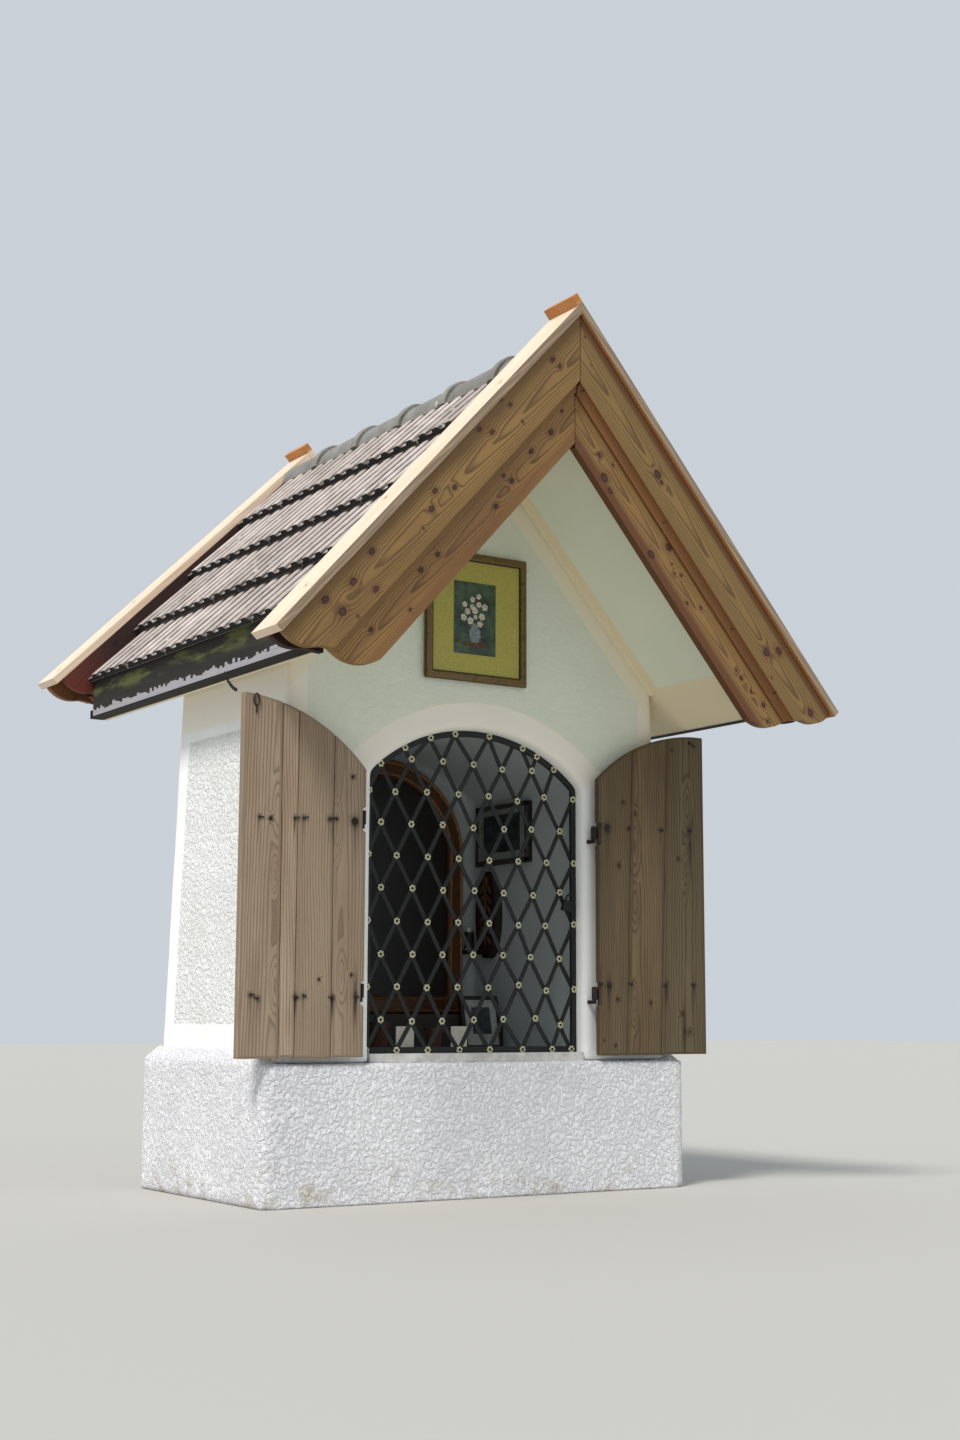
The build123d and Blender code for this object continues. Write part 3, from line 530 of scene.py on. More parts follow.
# knots are (along, across, radius) in millimetres;
# bands are (axis, low, high, softness, colour, left share, right share)
upperLarch = dict(
    frontLarch, pale="#94733f", mid="#806134", late="#42280f", streak="#6a4b27", knotColour="#3b1d10", halo="#613719",
    other="#846a3a", middle=0.100, pith=0.040, wild=1.3,
    knots=[
        (211, 58, 9), (206, 87, 8), (447, 26, 7), (432, 58, 7), (570, 41, 8), (541, 73, 9), (435, 117, 4),
        (817, 69, 9), (759, 103, 9), (863, 97, 10), (1098, 56, 11), (1202, 75, 12), (1164, 135, 10), (1303, 54, 12),
        (1286, 110, 13), (924, 116, 4), (1260, 148, 4),
    ] + further([
        (89, 53, 4), (168, 89, 3), (210, 163, 3), (548, 99, 14), (575, 102, 7), (676, 167, 3), (1070, 166, 3),
        (1199, 109, 14), (1224, 65, 13), (1314, 162, 3), (1443, 89, 13), (1270, 146, 4),
    ]),
    # painted shade, redder: painted shadow in the strip under the cap and painted shade in the cove along the lower
    # arris
    bands=[("Y", 0.010, 0.048, 0.007, "#5f3b1b", 0.25, 0.90), ("Y", 0.158, 0.190, 0.004, "#855427", 0.35, 0.95)],
)
lowerLarch = dict(
    frontLarch, pale="#a07942", mid="#8a6337", late="#482b12", streak="#6f4b2b", knotColour="#361a0d", halo="#693d23",
    other="#8b6c3c", middle=0.225, pith=0.030, wild=1.4,
    knots=[
        (279, 189, 6), (357, 208, 10), (456, 203, 9), (460, 172, 6), (574, 220, 9), (585, 192, 6), (672, 236, 9),
        (925, 205, 8), (999, 199, 9), (1107, 252, 6), (1241, 208, 8),
    ] + further([
        (394, 226, 7), (444, 201, 5), (456, 254, 14), (497, 263, 10), (727, 261, 14), (747, 190, 12), (793, 214, 4),
        (821, 224, 5), (839, 208, 5), (916, 245, 6), (957, 209, 6), (1181, 223, 5), (1210, 224, 8), (1265, 219, 6),
        (1325, 207, 8), (1373, 229, 6),
    ]),
    # painted shade along the rounded lower edge, in a redder brown
    bands=[("Y", 0.256, 0.300, 0.010, "#5f3012", 0.35, 0.80)],
)
# the rear boards: the same larch, redder, and darker as painted shade
rearLarch = dict(
    softwood, pale="#8f603b", mid="#7a4e2d", late="#4f2c17", streak="#674025", knotColour="#37190b", halo="#562f1a",
    roughness=0.65, middle=0.120, pith=0.040, ring=6.5, wild=1.4, figure=0.6, joint=verge["rearJoint"],
    knots=[(240, 70, 9), (520, 110, 8), (830, 60, 10), (1110, 100, 9), (660, 220, 8), (960, 250, 7)]
    + further([(180, 90, 8), (610, 70, 10), (900, 120, 8), (1200, 60, 11), (420, 230, 8), (1040, 240, 7)]),
)
orangeTop = ("Z", 0.0228, 0.040, 0.0003, "#b4702f", 1.0, 1.0)
orangeFoot = ("Z", -0.2, -0.0008, 0.0003, "#b8752f", 1.0, 0.0)
planedSpruce = dict(
    pale="#ecd8c2", mid="#e6ccb2", late="#cfae84", streak="#dec29c", knotColour="#9a6840", halo="#c99c68",
    roughness=0.6, middle=0.010, pith=0.030, ring=9.0, taper=0.030, wild=2.4, figure=0.45, relief=0.0005,
    knots=[(380, -20, 6), (900, 25, 7), (1290, -10, 6)] + further([(300, 10, 6), (760, -20, 7), (1250, 20, 6)]),
    # weathered edges and an orange underside
    bands=[orangeTop, ("Y", -0.090, -0.0728, 0.0003, "#86735f", 1.0, 1.0), orangeFoot],
)
rearSpruce = dict(planedSpruce, bands=[orangeTop, ("Y", 0.0728, 0.090, 0.0003, "#86735f", 1.0, 1.0), orangeFoot])
# the inner boards: a dark red-brown board, near black as painted shadow under the caps
stainedShadowedBoard = dict(
    pale="#33160f", mid="#29110c", late="#1d0b08", streak="#240e0a", knotColour="#170706", halo="#1d0b08",
    roughness=0.7, middle=0.090, pith=0.040, ring=8.0, taper=0.040, wild=1.5, figure=0.5, relief=0.0006, swerve=0.6,
    knots=[(300, 60, 8), (700, 100, 8), (1100, 50, 8)],
    # near black as painted shadow under the caps over the dark board; redder towards the eaves, where the red-brown
    # board shows
    bands=[("X", 1.22, 2.4, 0.16, "#6b2a18", 1.0, 0.0), ("X", 11.22, 12.4, 0.16, "#6b2a18", 0.0, 1.0)],
)
sawnSpruce = dict(
    pale="#b7925f", mid="#9e7c50", late="#7c5e3a", streak="#8a6a44", knotColour="#4a311c", halo="#7c5e3a",
    roughness=0.85, middle=0.0, pith=0.050, ring=8.0, taper=0.040, wild=3.0, figure=0.7, relief=0.001,
    knots=[(300, 60, 8), (900, 20, 9)],
)
frontFrame = (verge["front"], verge["frontJoint"], verge["frontApex"])
rearFrame = (verge["rear"], verge["rearJoint"], verge["rearApex"])
upperBoard = timber("upperBargeboardLarch", upperLarch, boardGrain(*frontFrame, -0.878))
lowerBoard = timber("lowerBargeboardLarch", lowerLarch, boardGrain(*frontFrame, -0.850))
rearBoard = timber("rearBargeboardLarch", rearLarch, boardGrain(*rearFrame, 0.920))
capBoard = timber("planedSpruceCap", planedSpruce, boardGrain(*frontFrame, -0.8165, True))
rearCapBoard = timber("planedSpruceRearCap", rearSpruce, boardGrain(*rearFrame, 0.8865, True))
innerBoard = timber("stainedShadowedInnerBoard", dict(stainedShadowedBoard, bands=()), boardGrain(*frontFrame, -0.771))
rearInnerBoard = timber("stainedShadowedRearInnerBoard", stainedShadowedBoard, boardGrain(*rearFrame, 0.813))
roofTimber = timber("sawnSpruce", sawnSpruce, boardGrain(*frontFrame, 0.0))


def fasciaFinish(name, board):
    # old softwood, black with algae and moss, with a ragged strip of painted sunlight in pale grey above its drip edge,
    # its top the painted edge of the tiles' shadow
    material, tree, shader, place = startMaterial(name, roughness=0.9)
    x, y, z = axes(tree, place)
    lined = eaveGrain(tree, place)
    fibre = stretched(tree, lined, (9.0, 480.0, 480.0))
    broad = stretched(tree, lined, (3.0, 20.0, 20.0))
    up = calc(tree, "SUBTRACT", z, board["bottom"])
    colour = blend(tree, step(tree, broad, 0.35, 0.68), board["black"], board["brown"])
    moss = stretched(tree, lined, (5.0, 24.0, 24.0), 5.0)
    mossy = both(tree, step(tree, moss, 0.47, 0.62), step(tree, up, 0.050, 0.085))
    colour = blend(tree, mossy, colour, board["moss"])
    # the painted sunlit strip ends at different heights in steps 17 mm wide
    shadowStep = chance(tree, calc(tree, "FLOOR", both(tree, y, perMetre(17))))
    reach = calc(tree, "MULTIPLY_ADD", stretched(tree, lined, (9.0, 0.0, 0.0), 2.0), 0.030, 0.004)
    reach = calc(tree, "MULTIPLY_ADD", shadowStep, 0.016, reach)
    sunlitStrip = both(tree, calc(tree, "LESS_THAN", up, reach), step(tree, up, 0.003, 0.005), step(tree, fibre, 0.16, 0.26))
    colour = blend(tree, sunlitStrip, colour, blend(tree, fibre, board["grey"], board["white"]))
    colour = blend(tree, step(tree, fibre, 0.52, 0.85), colour, board["black"])
    return endMaterial(material, tree, shader, colour, relief(tree, fibre, 0.0014, 0.6))


# grey and white are the painted sunlight on the strip above the drip edge
oldBoard = dict(black="#171713", brown="#2a251c", moss="#565a2a", grey="#8d8a8e", white="#b9b6ba")
leftFasciaBoard = fasciaFinish("mossyFasciaLeft", dict(oldBoard, bottom=1.520))
rightFasciaBoard = fasciaFinish("mossyFasciaRight", dict(oldBoard, bottom=1.450))
print("timber finishes")


def weatheredTile(name, tile):
    # pressed concrete roof tile: matt, sandy, paler on the crowns, painted shade in the grooves beside them, spots of
    # lichen
    material, tree, shader, place = startMaterial(name, roughness=0.92)
    patch = noise(tree, place, 90, 5.0, 0.65)
    sand = noise(tree, place, 5, 3.0, 0.7)
    colour = blend(tree, step(tree, patch, 0.3, 0.7), tile["pale"], tile["mid"])
    colour = blend(tree, attribute(tree, "tone"), colour, tile["dark"])
    colour = blend(tree, both(tree, step(tree, sand, 0.52, 0.8), step(tree, patch, 0.35, 0.6)), colour, tile["dark"])
    grooveShade = both(tree, step(tree, attribute(tree, "flute"), 0.25, 0.95), ramp(tree, patch, 0.3, 0.6, 0.55, 0.95))
    colour = blend(tree, grooveShade, colour, tile["paintedShade"])
    spots = both(tree, step(tree, cells(tree, place, 45), 0.30, 0.18), step(tree, patch, 0.5, 0.66))
    colour = blend(tree, spots, colour, tile["lichen"])
    return endMaterial(material, tree, shader, colour, relief(tree, sand, 0.0015, 0.7))


courseTile = weatheredTile(
    "pressedConcreteTile", dict(pale="#d3c7c0", mid="#b0a39c", dark="#857a74", paintedShade="#36312e", lichen="#c2c0b4")
)
ridgeTile = weatheredTile(
    "lichenedRidgeTile", dict(pale="#a5a39c", mid="#85827c", dark="#625f5a", paintedShade="#3f3c39", lichen="#b9b8ab")
)
# the butt faces that look down the slope: near black, partly soot and moss, partly painted shade
shadedButtTile = weatheredTile(
    "shadedSootyTileButt", dict(pale="#2a2723", mid="#1b1917", dark="#131211", paintedShade="#0e0d0c", lichen="#3d3e34")
)


def patchy(name, first, second, patch, roughness, metallic=0.0, detail=5.0, fine=0.65, low=0.48, strength=0.4):
    # a metal or varnish with a second tone, rust or tarnish, in patches so many millimetres wide
    material, tree, shader, place = startMaterial(name, roughness, metallic)
    spread = noise(tree, place, patch, detail, fine)
    colour = blend(tree, step(tree, spread, low, 0.72), first, second)
    return endMaterial(material, tree, shader, colour, relief(tree, spread, 0.0006, strength))


def plainPaint(name, light, dark, mottle, roughness):
    # brushed or printed flat surface with a soft mottling
    return patchy(name, light, dark, mottle, roughness, 0.0, 4.0, 0.6, 0.3, 0.3)


paintedIron = patchy("paintedWroughtIron", "#080b0b", "#111615", 16, 0.62)
rustyIron = patchy("rustyForgedIron", "#1d1815", "#38241a", 9, 0.8)
wornBrass = patchy("wornBrass", "#cfccaa", "#8f8d66", 7, 0.45, 0.45)
giltWood = patchy("gildedPearwood", "#6f592c", "#44361a", 14, 0.42, 0.2)
brownGilt = patchy("bronzedPearwood", "#573719", "#3a230f", 20, 0.4, 0.15)
# a paler gilt, painted highlight for the altarpiece beads
highlightGilt = patchy("highlightGilding", "#8a5c2b", "#623e1b", 12, 0.38, 0.2)
mountBoard = plainPaint("oliveMountBoard", "#b5ae55", "#a09a46", 5, 0.55)
printGround = plainPaint("darkPrintGround", "#4b6248", "#1b231f", 42, 0.35)
petalPaint = plainPaint("palePetalPaint", "#d9d4c4", "#a09a88", 7, 0.4)
potPaint = plainPaint("greyVasePaint", "#8b9296", "#57626a", 10, 0.4)
altarPaint = plainPaint("darkAltarPaint", "#1a120d", "#0b0806", 90, 0.4)
altarStep = plainPaint("darkAltarStep", "#241a12", "#160f09", 40, 0.55)
darkWood = plainPaint("darkStainedWood", "#2b1d16", "#160e0a", 12, 0.6)
brownWood = plainPaint("brownVarnishedWood", "#5f3d24", "#432815", 14, 0.5)
greyedWood = plainPaint("greyedFrameWood", "#4e463b", "#342d25", 12, 0.6)
greyMount = plainPaint("greyMountBoard", "#9da196", "#7f837a", 30, 0.6)
paleMount = plainPaint("paleMountBoard", "#b3b5ae", "#8e918b", 30, 0.6)
duskPrint = plainPaint("duskPrint", "#434f54", "#0b0e10", 46, 0.35)
candleWax = plainPaint("candleWax", "#efeadc", "#ddd5c2", 25, 0.5)
clayPot = plainPaint("terracottaPot", "#4f2a19", "#371c10", 14, 0.85)
screed = plainPaint("sillScreed", "#dcdad5", "#bcb9b2", 30, 0.95)


def soffitPlaster(name, plaster):
    # painted plaster: a pale field inside creamier brushed borders, the field tinted green as painted bounce light from
    # the grass
    material, tree, shader, place = startMaterial(name, roughness=0.9)
    x, y, z = axes(tree, place)
    side = calc(tree, "ABSOLUTE", x)
    field = both(
        tree, step(tree, y, roof["front"] + 0.165, roof["front"] + 0.170),
        step(tree, y, walls["front"] - 0.038, walls["front"] - 0.042),
        step(tree, side, 0.655, 0.650), step(tree, side, 0.075, 0.080),
    )
    pale = blend(tree, noise(tree, place, 200, 3.0), plaster["field"], plaster["fieldShade"])
    colour = blend(tree, field, plaster["border"], pale)
    # painted shade: the edge that shows under the left fascia is as black as the board
    colour = blend(tree, step(tree, x, -0.716, -0.724), colour, oldBoard["black"])
    brushed = relief(tree, noise(tree, place, 14, 4.0), 0.001, 0.35)
    return endMaterial(material, tree, shader, colour, brushed)


# the field's green tint is painted bounce light from the grass
soffitCoat = soffitPlaster("brushedSoffitPlaster", dict(field="#ebeedd", fieldShade="#e1e6cf", border="#ecdfbf"))
print("finishes done")


# ---- masonry

def coat(name, nodes, material, slot, skin):
    # one skin over several solids, its arrises rounded by hand, as a render coat is
    bm = bmesh.new()
    for node in nodes:
        copy = weldedCopy(node)
        loose = bpy.data.meshes.new("loose")
        copy.to_mesh(loose)
        copy.free()
        bm.from_mesh(loose)
        bpy.data.meshes.remove(loose)
    mesh = bpy.data.meshes.new(name)
    bm.to_mesh(mesh)
    bm.free()
    piece = bpy.data.objects.new(name, mesh)
    bpy.context.scene.collection.objects.link(piece)
    remesh = piece.modifiers.new("skin", "REMESH")
    remesh.mode = "VOXEL"
    remesh.voxel_size = skin["voxel"]
    smooth = piece.modifiers.new("float", "SMOOTH")
    smooth.factor = 0.5
    smooth.iterations = 4
    uneven = bpy.data.textures.new(name + "Lumps", "CLOUDS")
    uneven.noise_scale = skin["lumpSize"]
    uneven.noise_depth = 2
    push = piece.modifiers.new("uneven", "DISPLACE")
    push.texture = uneven
    push.strength = skin["lumps"]
    push.mid_level = 0.62
    push.texture_coords = "LOCAL"
    settled = bpy.data.meshes.new_from_object(piece.evaluated_get(bpy.context.evaluated_depsgraph_get()))
    piece.modifiers.clear()
    piece.data = settled
    settled.materials.clear()
    settled.materials.append(material)
    for polygon in settled.polygons:
        polygon.use_smooth = True
    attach(piece, "chapel")
    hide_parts(*nodes)
    print(name, len(settled.polygons), "faces")


wallNodes = ["left_wall", "right_wall", "rear_wall", "arch_head", "front_gable", "rear_gable"]
coat("wallCoat", wallNodes, limewashedWall, "white_render", dict(voxel=0.0105, lumps=0.0015, lumpSize=0.12))
coat("plinthCoat", ["plinth"], roughcastPlinth, "roughcast", dict(voxel=0.010, lumps=0.0035, lumpSize=0.045))
dress(soffitCoat, "left_soffit", "right_soffit")

# lime fillet in the corner between gable and soffit
fillet = dict(radius=0.012, depth=0.200, reach=0.664, sunk=0.003, below=0.001)
filletApex = roof["apex"] - fillet["depth"] / math.cos(roof["pitch"]) - fillet["below"]
filletFoot = filletApex - fillet["reach"] * math.tan(roof["pitch"])
bm = bmesh.new()
for y in (walls["front"] + fillet["sunk"], walls["rear"] - fillet["sunk"]):
    corners = [(-fillet["reach"], y, filletFoot), (0.0, y, filletApex), (fillet["reach"], y, filletFoot)]
    rod(bm, corners, fillet["radius"])
finishPiece("soffitFillet", bm, soffitCoat)
print("masonry")


# ---- tiles

tile = dict(
    pitch=0.075, ribs=4, crown=0.028, foot=0.044, rib=0.011, plate=0.015, gap=0.0025, edge=0.0018, perCourse=5,
)
courses = dict(
    count=4, first=0.245, lap=0.070, topRun=0.080, surface=0.0215, eaveSurface=0.030, raised=0.002,
    front=-0.743, rear=0.813, fascia=0.087, overhang=0.031, clearance=0.0003,
)
eaveReach = walls["halfWidth"] + courses["fascia"] + courses["overhang"]
eaveRun = (eaveReach + courses["eaveSurface"] * math.sin(roof["pitch"])) / math.cos(roof["pitch"])
exposure = (eaveRun - courses["first"] - courses["lap"] - courses["topRun"]) / (courses["count"] - 1)
roofSpan = courses["rear"] - courses["front"] - 2 * courses["clearance"]


def slopePlace(run, depth, side):
    x = run * math.cos(roof["pitch"]) - depth * math.sin(roof["pitch"])
    z = roof["apex"] - run * math.sin(roof["pitch"]) - depth * math.cos(roof["pitch"])
    return Vector((side * x, 0.0, z))


def tileProfile(width, leftMargin):
    # ribbed cross-section as (across, up, grooveShade): rounded crowns, painted shade in the grooves beside them, paler
    # channels
    points = [(0.0, -tile["plate"], 0.6), (0.0, 0.0, 0.6)]
    half, top, rib = tile["foot"] / 2, tile["crown"] / 2, tile["rib"]
    ribShape = [
        (-half, 0.0, 1.0), (-half * 0.90, rib * 0.5, 0.9), (-top, rib * 0.93, 0.1), (0.0, rib, 0.0),
        (top, rib * 0.93, 0.1), (half * 0.90, rib * 0.5, 0.9), (half, 0.0, 1.0),
    ]
    for number in range(tile["ribs"]):
        middle = leftMargin + (number + 0.5) * tile["pitch"]
        if number:
            points.append((middle - tile["pitch"] / 2, 0.0006, 0.1))
        points += [(middle + across, up, grooveShade) for across, up, grooveShade in ribShape]
    return points + [(width, 0.0, 0.6), (width, -tile["plate"], 0.6)]


def layTile(bm, layers, profile, length, origin, turn):
    # one tile: its profile drawn up the slope, a little loose in its place
    tone, flute = layers
    verts = [bm.verts.new((across, 0.0, up)) for across, up, grooveShade in profile]
    for v, point in zip(verts, profile):
        v[flute] = point[2]
    far = farVerts(bmesh.ops.extrude_face_region(bm, geom=[bm.faces.new(verts)]))
    bmesh.ops.translate(bm, verts=far, vec=(0.0, length, 0.0))
    together = set(verts) | set(far)
    bmesh.ops.recalc_face_normals(bm, faces=list({f for v in together for f in v.link_faces}))
    rims = {e for v in verts for e in v.link_edges if all(w in verts for w in e.verts)}
    cut = roundEdges(bm, rims, tile["edge"], 1)
    together = {v for v in together if v.is_valid} | {v for f in cut for v in f.verts}
    settle = seed.uniform(-0.0012, 0.0004)
    slip = seed.uniform(-0.003, 0.003)
    skew = Matrix.Rotation(math.radians(seed.uniform(-0.35, 0.35)), 4, "Z")
    upSlope, upward = turn.col[1].to_3d(), turn.col[2].to_3d()
    place = Matrix.Translation(origin + upSlope * slip + upward * (settle - tile["rib"]))
    bmesh.ops.transform(bm, matrix=place @ turn @ skew, verts=list(together))
    shade = seed.uniform(0.0, 0.55)
    for v in together:
        v[tone] = shade


for side, label in ((-1, "left"), (1, "right")):
    bm = bmesh.new()
    layers = newLayer(bm, "tone"), newLayer(bm, "flute")
    rise = tile["plate"] + tile["rib"] + courses["clearance"]
    tilt = rise / exposure
    block = tile["ribs"] * tile["pitch"]
    margin = (roofSpan - tile["perCourse"] * block) / 2
    for course in range(courses["count"]):
        length = (exposure if course else courses["first"]) + courses["lap"]
        butt = eaveRun - (courses["first"] + (course - 1) * exposure if course else 0.0)
        surface = courses["surface"]
        if not course:
            surface += rise - tilt * courses["first"] + courses["raised"]
        low = slopePlace(butt, surface, side)
        upSlope = (slopePlace(butt - length, surface + tilt * length, side) - low).normalized()
        outward = Vector((side * math.sin(roof["pitch"]), 0.0, math.cos(roof["pitch"])))
        upward = (outward - upSlope * outward.dot(upSlope)).normalized()
        turn = towards(Vector((0.0, 1.0, 0.0)), upSlope, upward)
        for number in range(tile["perCourse"]):
            leftMargin = 0.0 if number else margin
            rightMargin = margin if number == tile["perCourse"] - 1 else 0.0
            start = courses["front"] + courses["clearance"] + (margin if number else 0.0) + number * block
            profile = tileProfile(block + leftMargin + rightMargin - tile["gap"], leftMargin - tile["gap"] / 2)
            layTile(bm, layers, profile, length, low + Vector((0.0, start, 0.0)), turn)
    bmesh.ops.recalc_face_normals(bm, faces=bm.faces)
    downSlope = Vector((side * math.cos(roof["pitch"]), 0.0, -math.sin(roof["pitch"])))
    # the faces that look down the slope take the near-black butt finish, painted shade
    for face in bm.faces:
        face.material_index = 1 if face.normal.dot(downSlope) > 0.8 else 0
    finishPiece(
        label + "TileCourses", bm, courseTile, replaces=(label + "_tiles",), smooth=25.0,
        extra=(shadedButtTile,),
    )

ridge = dict(
    radius=0.098, squash=0.837, wall=0.014, top=2.522, collar=0.046, rise=0.010, wave=0.008, count=5, steps=22,
)
bm = bmesh.new()
tone = newLayer(bm, "tone")
pieceLength = roofSpan / (ridge["count"] + 0.5)
inner, outer, lip = ridge["radius"] - ridge["wall"], ridge["radius"] - 0.002, ridge["radius"] + ridge["rise"]
for number in range(ridge["count"] + 1):
    start = courses["front"] + courses["clearance"] + max(0.0, number - 0.5) * pieceLength
    length = pieceLength if number else pieceLength / 2
    # a rounded collar, a hollow neck behind it, then the plain barrel
    section = [
        (inner, 0.0), (lip - 0.004, 0.0), (lip, 0.005), (lip, ridge["collar"] * 0.55),
        (lip - 0.005, ridge["collar"] * 0.80), (outer + 0.002, ridge["collar"]), (outer, ridge["collar"] * 1.3),
        (outer - 0.002, length - 0.001), (inner, length - 0.001),
    ]
    verts = [bm.verts.new((radius, start + along, 0.0)) for radius, along in section]
    face = bm.faces.new(verts)
    before = set(bm.verts) - set(verts)
    bmesh.ops.spin(
        bm, geom=[face], cent=(0, 0, 0), axis=(0, -1, 0), dvec=(0, 0, 0), angle=math.pi, steps=ridge["steps"],
        use_merge=False,
    )
    fresh = set(bm.verts) - before
    for v in fresh:
        # the lips are scalloped
        v.co.y += ridge["wave"] * math.cos(4 * math.atan2(v.co.x, v.co.z))
        v.co.z *= ridge["squash"]
    lift = ridge["top"] - ridge["radius"] * ridge["squash"] + seed.uniform(-0.0015, 0.0)
    bmesh.ops.translate(bm, verts=list(fresh), vec=(0, 0, lift))
    shade = seed.uniform(0.05, 0.5)
    for v in fresh:
        v[tone] = shade
bmesh.ops.recalc_face_normals(bm, faces=bm.faces)
finishPiece("ridgeBarrels", bm, ridgeTile, replaces=("ridge_tiles",), smooth=40.0)
print("tiles")


# ---- verge boards, fascia, roof timber

arrises = dict(cap=0.0016, board=0.0024, fascia=0.0020)
for material, width, nodes in (
    (capBoard, arrises["cap"], ["front_verge_caps"]),
    (rearCapBoard, arrises["cap"], ["rear_verge_caps"]),
    (upperBoard, arrises["board"], ["front_upper_bargeboards"]),
    (lowerBoard, arrises["board"], ["front_lower_bargeboards"]),
    (rearBoard, arrises["board"], ["rear_upper_bargeboards", "rear_lower_bargeboards"]),
    (innerBoard, arrises["cap"], ["front_inner_boards"]),
    (rearInnerBoard, arrises["cap"], ["rear_inner_boards"]),
    (leftFasciaBoard, arrises["fascia"], ["left_fascia"]),
    (rightFasciaBoard, arrises["fascia"], ["right_fascia"]),
):
    dress(material, *nodes)
    for node in nodes:
        softenNode(node, width)
dress(roofTimber, "left_roof_boarding", "right_roof_boarding", "rafters")
print("verge boards")


# ---- shutters

leaf = dict(
    hingeY=-0.406, meeting=0.004, shift=0.027, thickness=0.024, bottom=0.412, top=1.433, radius=0.5654, gap=0.0024,
    columns=14, rows=122, arris=0.0018,
)
leaves = dict(
    # plank edges as (bottom, top) distances from the middle of the building, the heart of each plank's figure,
    # and what is seen on the face in millimetres, as (x, z, size)
    left=dict(
        side=-1, hinge=0.432, outer=0.833, inner=0.436,
        edges=[(0.833, 0.833), (0.706, 0.710), (0.657, 0.657), (0.541, 0.541), (0.436, 0.436)],
        hearts=[0.725, 0.90, 0.80, 0.515],
        nails=[
            (780, 1081, 5), (742, 1079, 4), (668, 1084, 5), (640, 1086, 6), (556, 1088, 6), (532, 1090, 4),
            (797, 586, 5), (774, 576, 5), (657, 581, 6), (632, 585, 5), (538, 580, 5), (464, 583, 6),
        ],
        bolts=[(473, 1085, 11)],
        knots=[(482, 1213, 6), (583, 630, 5), (478, 644, 6), (744, 1079, 6)],
        eyes=[(722, 1101, 17), (728, 920, 9), (722, 611, 14), (536, 1248, 18), (530, 1056, 14), (512, 637, 14)],
        streaks=[
            (657, 560, 5), (774, 560, 5), (538, 560, 6), (464, 600, 8), (464, 545, 8), (545, 1060, 7), (668, 1065, 4),
        ],
    ),
    right=dict(
        side=1, hinge=0.402, outer=0.827, inner=0.406,
        edges=[(0.406, 0.406), (0.512, 0.540), (0.645, 0.682), (0.827, 0.827)],
        hearts=[0.10, 0.548, 0.760],
        nails=[(524, 1120, 5), (648, 1122, 5), (767, 1125, 6), (530, 631, 5), (665, 630, 6), (780, 631, 5)],
        bolts=[(436, 1117, 11), (440, 627, 8)],
        knots=[
            (498, 1201, 6), (482, 1000, 8), (548, 1167, 6), (722, 1033, 6), (700, 1384, 5), (472, 582, 7),
            (604, 573, 7), (732, 539, 7), (738, 482, 6), (760, 482, 6), (464, 440, 6), (421, 457, 4),
        ],
        eyes=[(545, 1060, 18), (545, 884, 14), (760, 1196, 15), (752, 998, 13), (540, 564, 12)],
        streaks=[
            (440, 610, 7), (767, 1100, 8), (767, 1060, 7), (738, 520, 9), (738, 450, 9), (665, 605, 5), (780, 605, 5),
        ],
    ),
)
hingeHeights = (0.600, 1.100)
knuckle = dict(above=0.0055, half=0.034, width=0.030, clear=0.0105, squeeze=0.65)
leafFace = leaf["hingeY"] - 0.001 - leaf["thickness"]


def leafTop(door, x):
    # height of the arched top over a distance from the middle of the building
    shut = door["side"] * (door["outer"] - x + leaf["meeting"]) - leaf["shift"]
    return leaf["top"] - leaf["radius"] + math.sqrt(leaf["radius"] ** 2 - shut ** 2)


def leafShare(z):
    return (z - leaf["bottom"]) / (leaf["top"] - leaf["bottom"])


def plankAt(door, x, z):
    # number of the plank at a place of the leaf
    for number, (first, second) in enumerate(zip(door["edges"], door["edges"][1:])):
        low, high = sorted(a + (b - a) * leafShare(z) for a, b in (first, second))
        if low <= x <= high:
            return number
    return 0


def plankSpots(door, spots):
    # places on the face turned into the grain map: each plank starts 10 m further on
    found = []
    for x, z, size in spots:
        number = plankAt(door, x / 1000, z / 1000)
        found.append((z + 10000 * number, x - 1000 * door["hearts"][number], size))
    return found


def ironStain(x, z, door):
    # dark stain round each nail and the runs below it
    total = 0.0
    for nailX, nailZ, size in door["nails"] + door["bolts"]:
        dx, dz, spread = x - nailX / 1000, z - nailZ / 1000, size / 1000
        total += 0.75 * math.exp(-(dx * dx + dz * dz) / (2 * (spread * 1.1) ** 2))
        if dz < 0:
            total += 0.65 * math.exp(-(dx * dx) / (2 * (spread * 0.5) ** 2)) * math.exp(dz / (spread * 9))
    for streakX, streakZ, size in door["streaks"]:
        dx, dz, spread = x - streakX / 1000, z - streakZ / 1000, size / 1000
        total += 0.6 * math.exp(-(dx * dx) / (2 * (spread * 0.55) ** 2) - (dz * dz) / (2 * (spread * 5) ** 2))
    return min(total, 1.0)


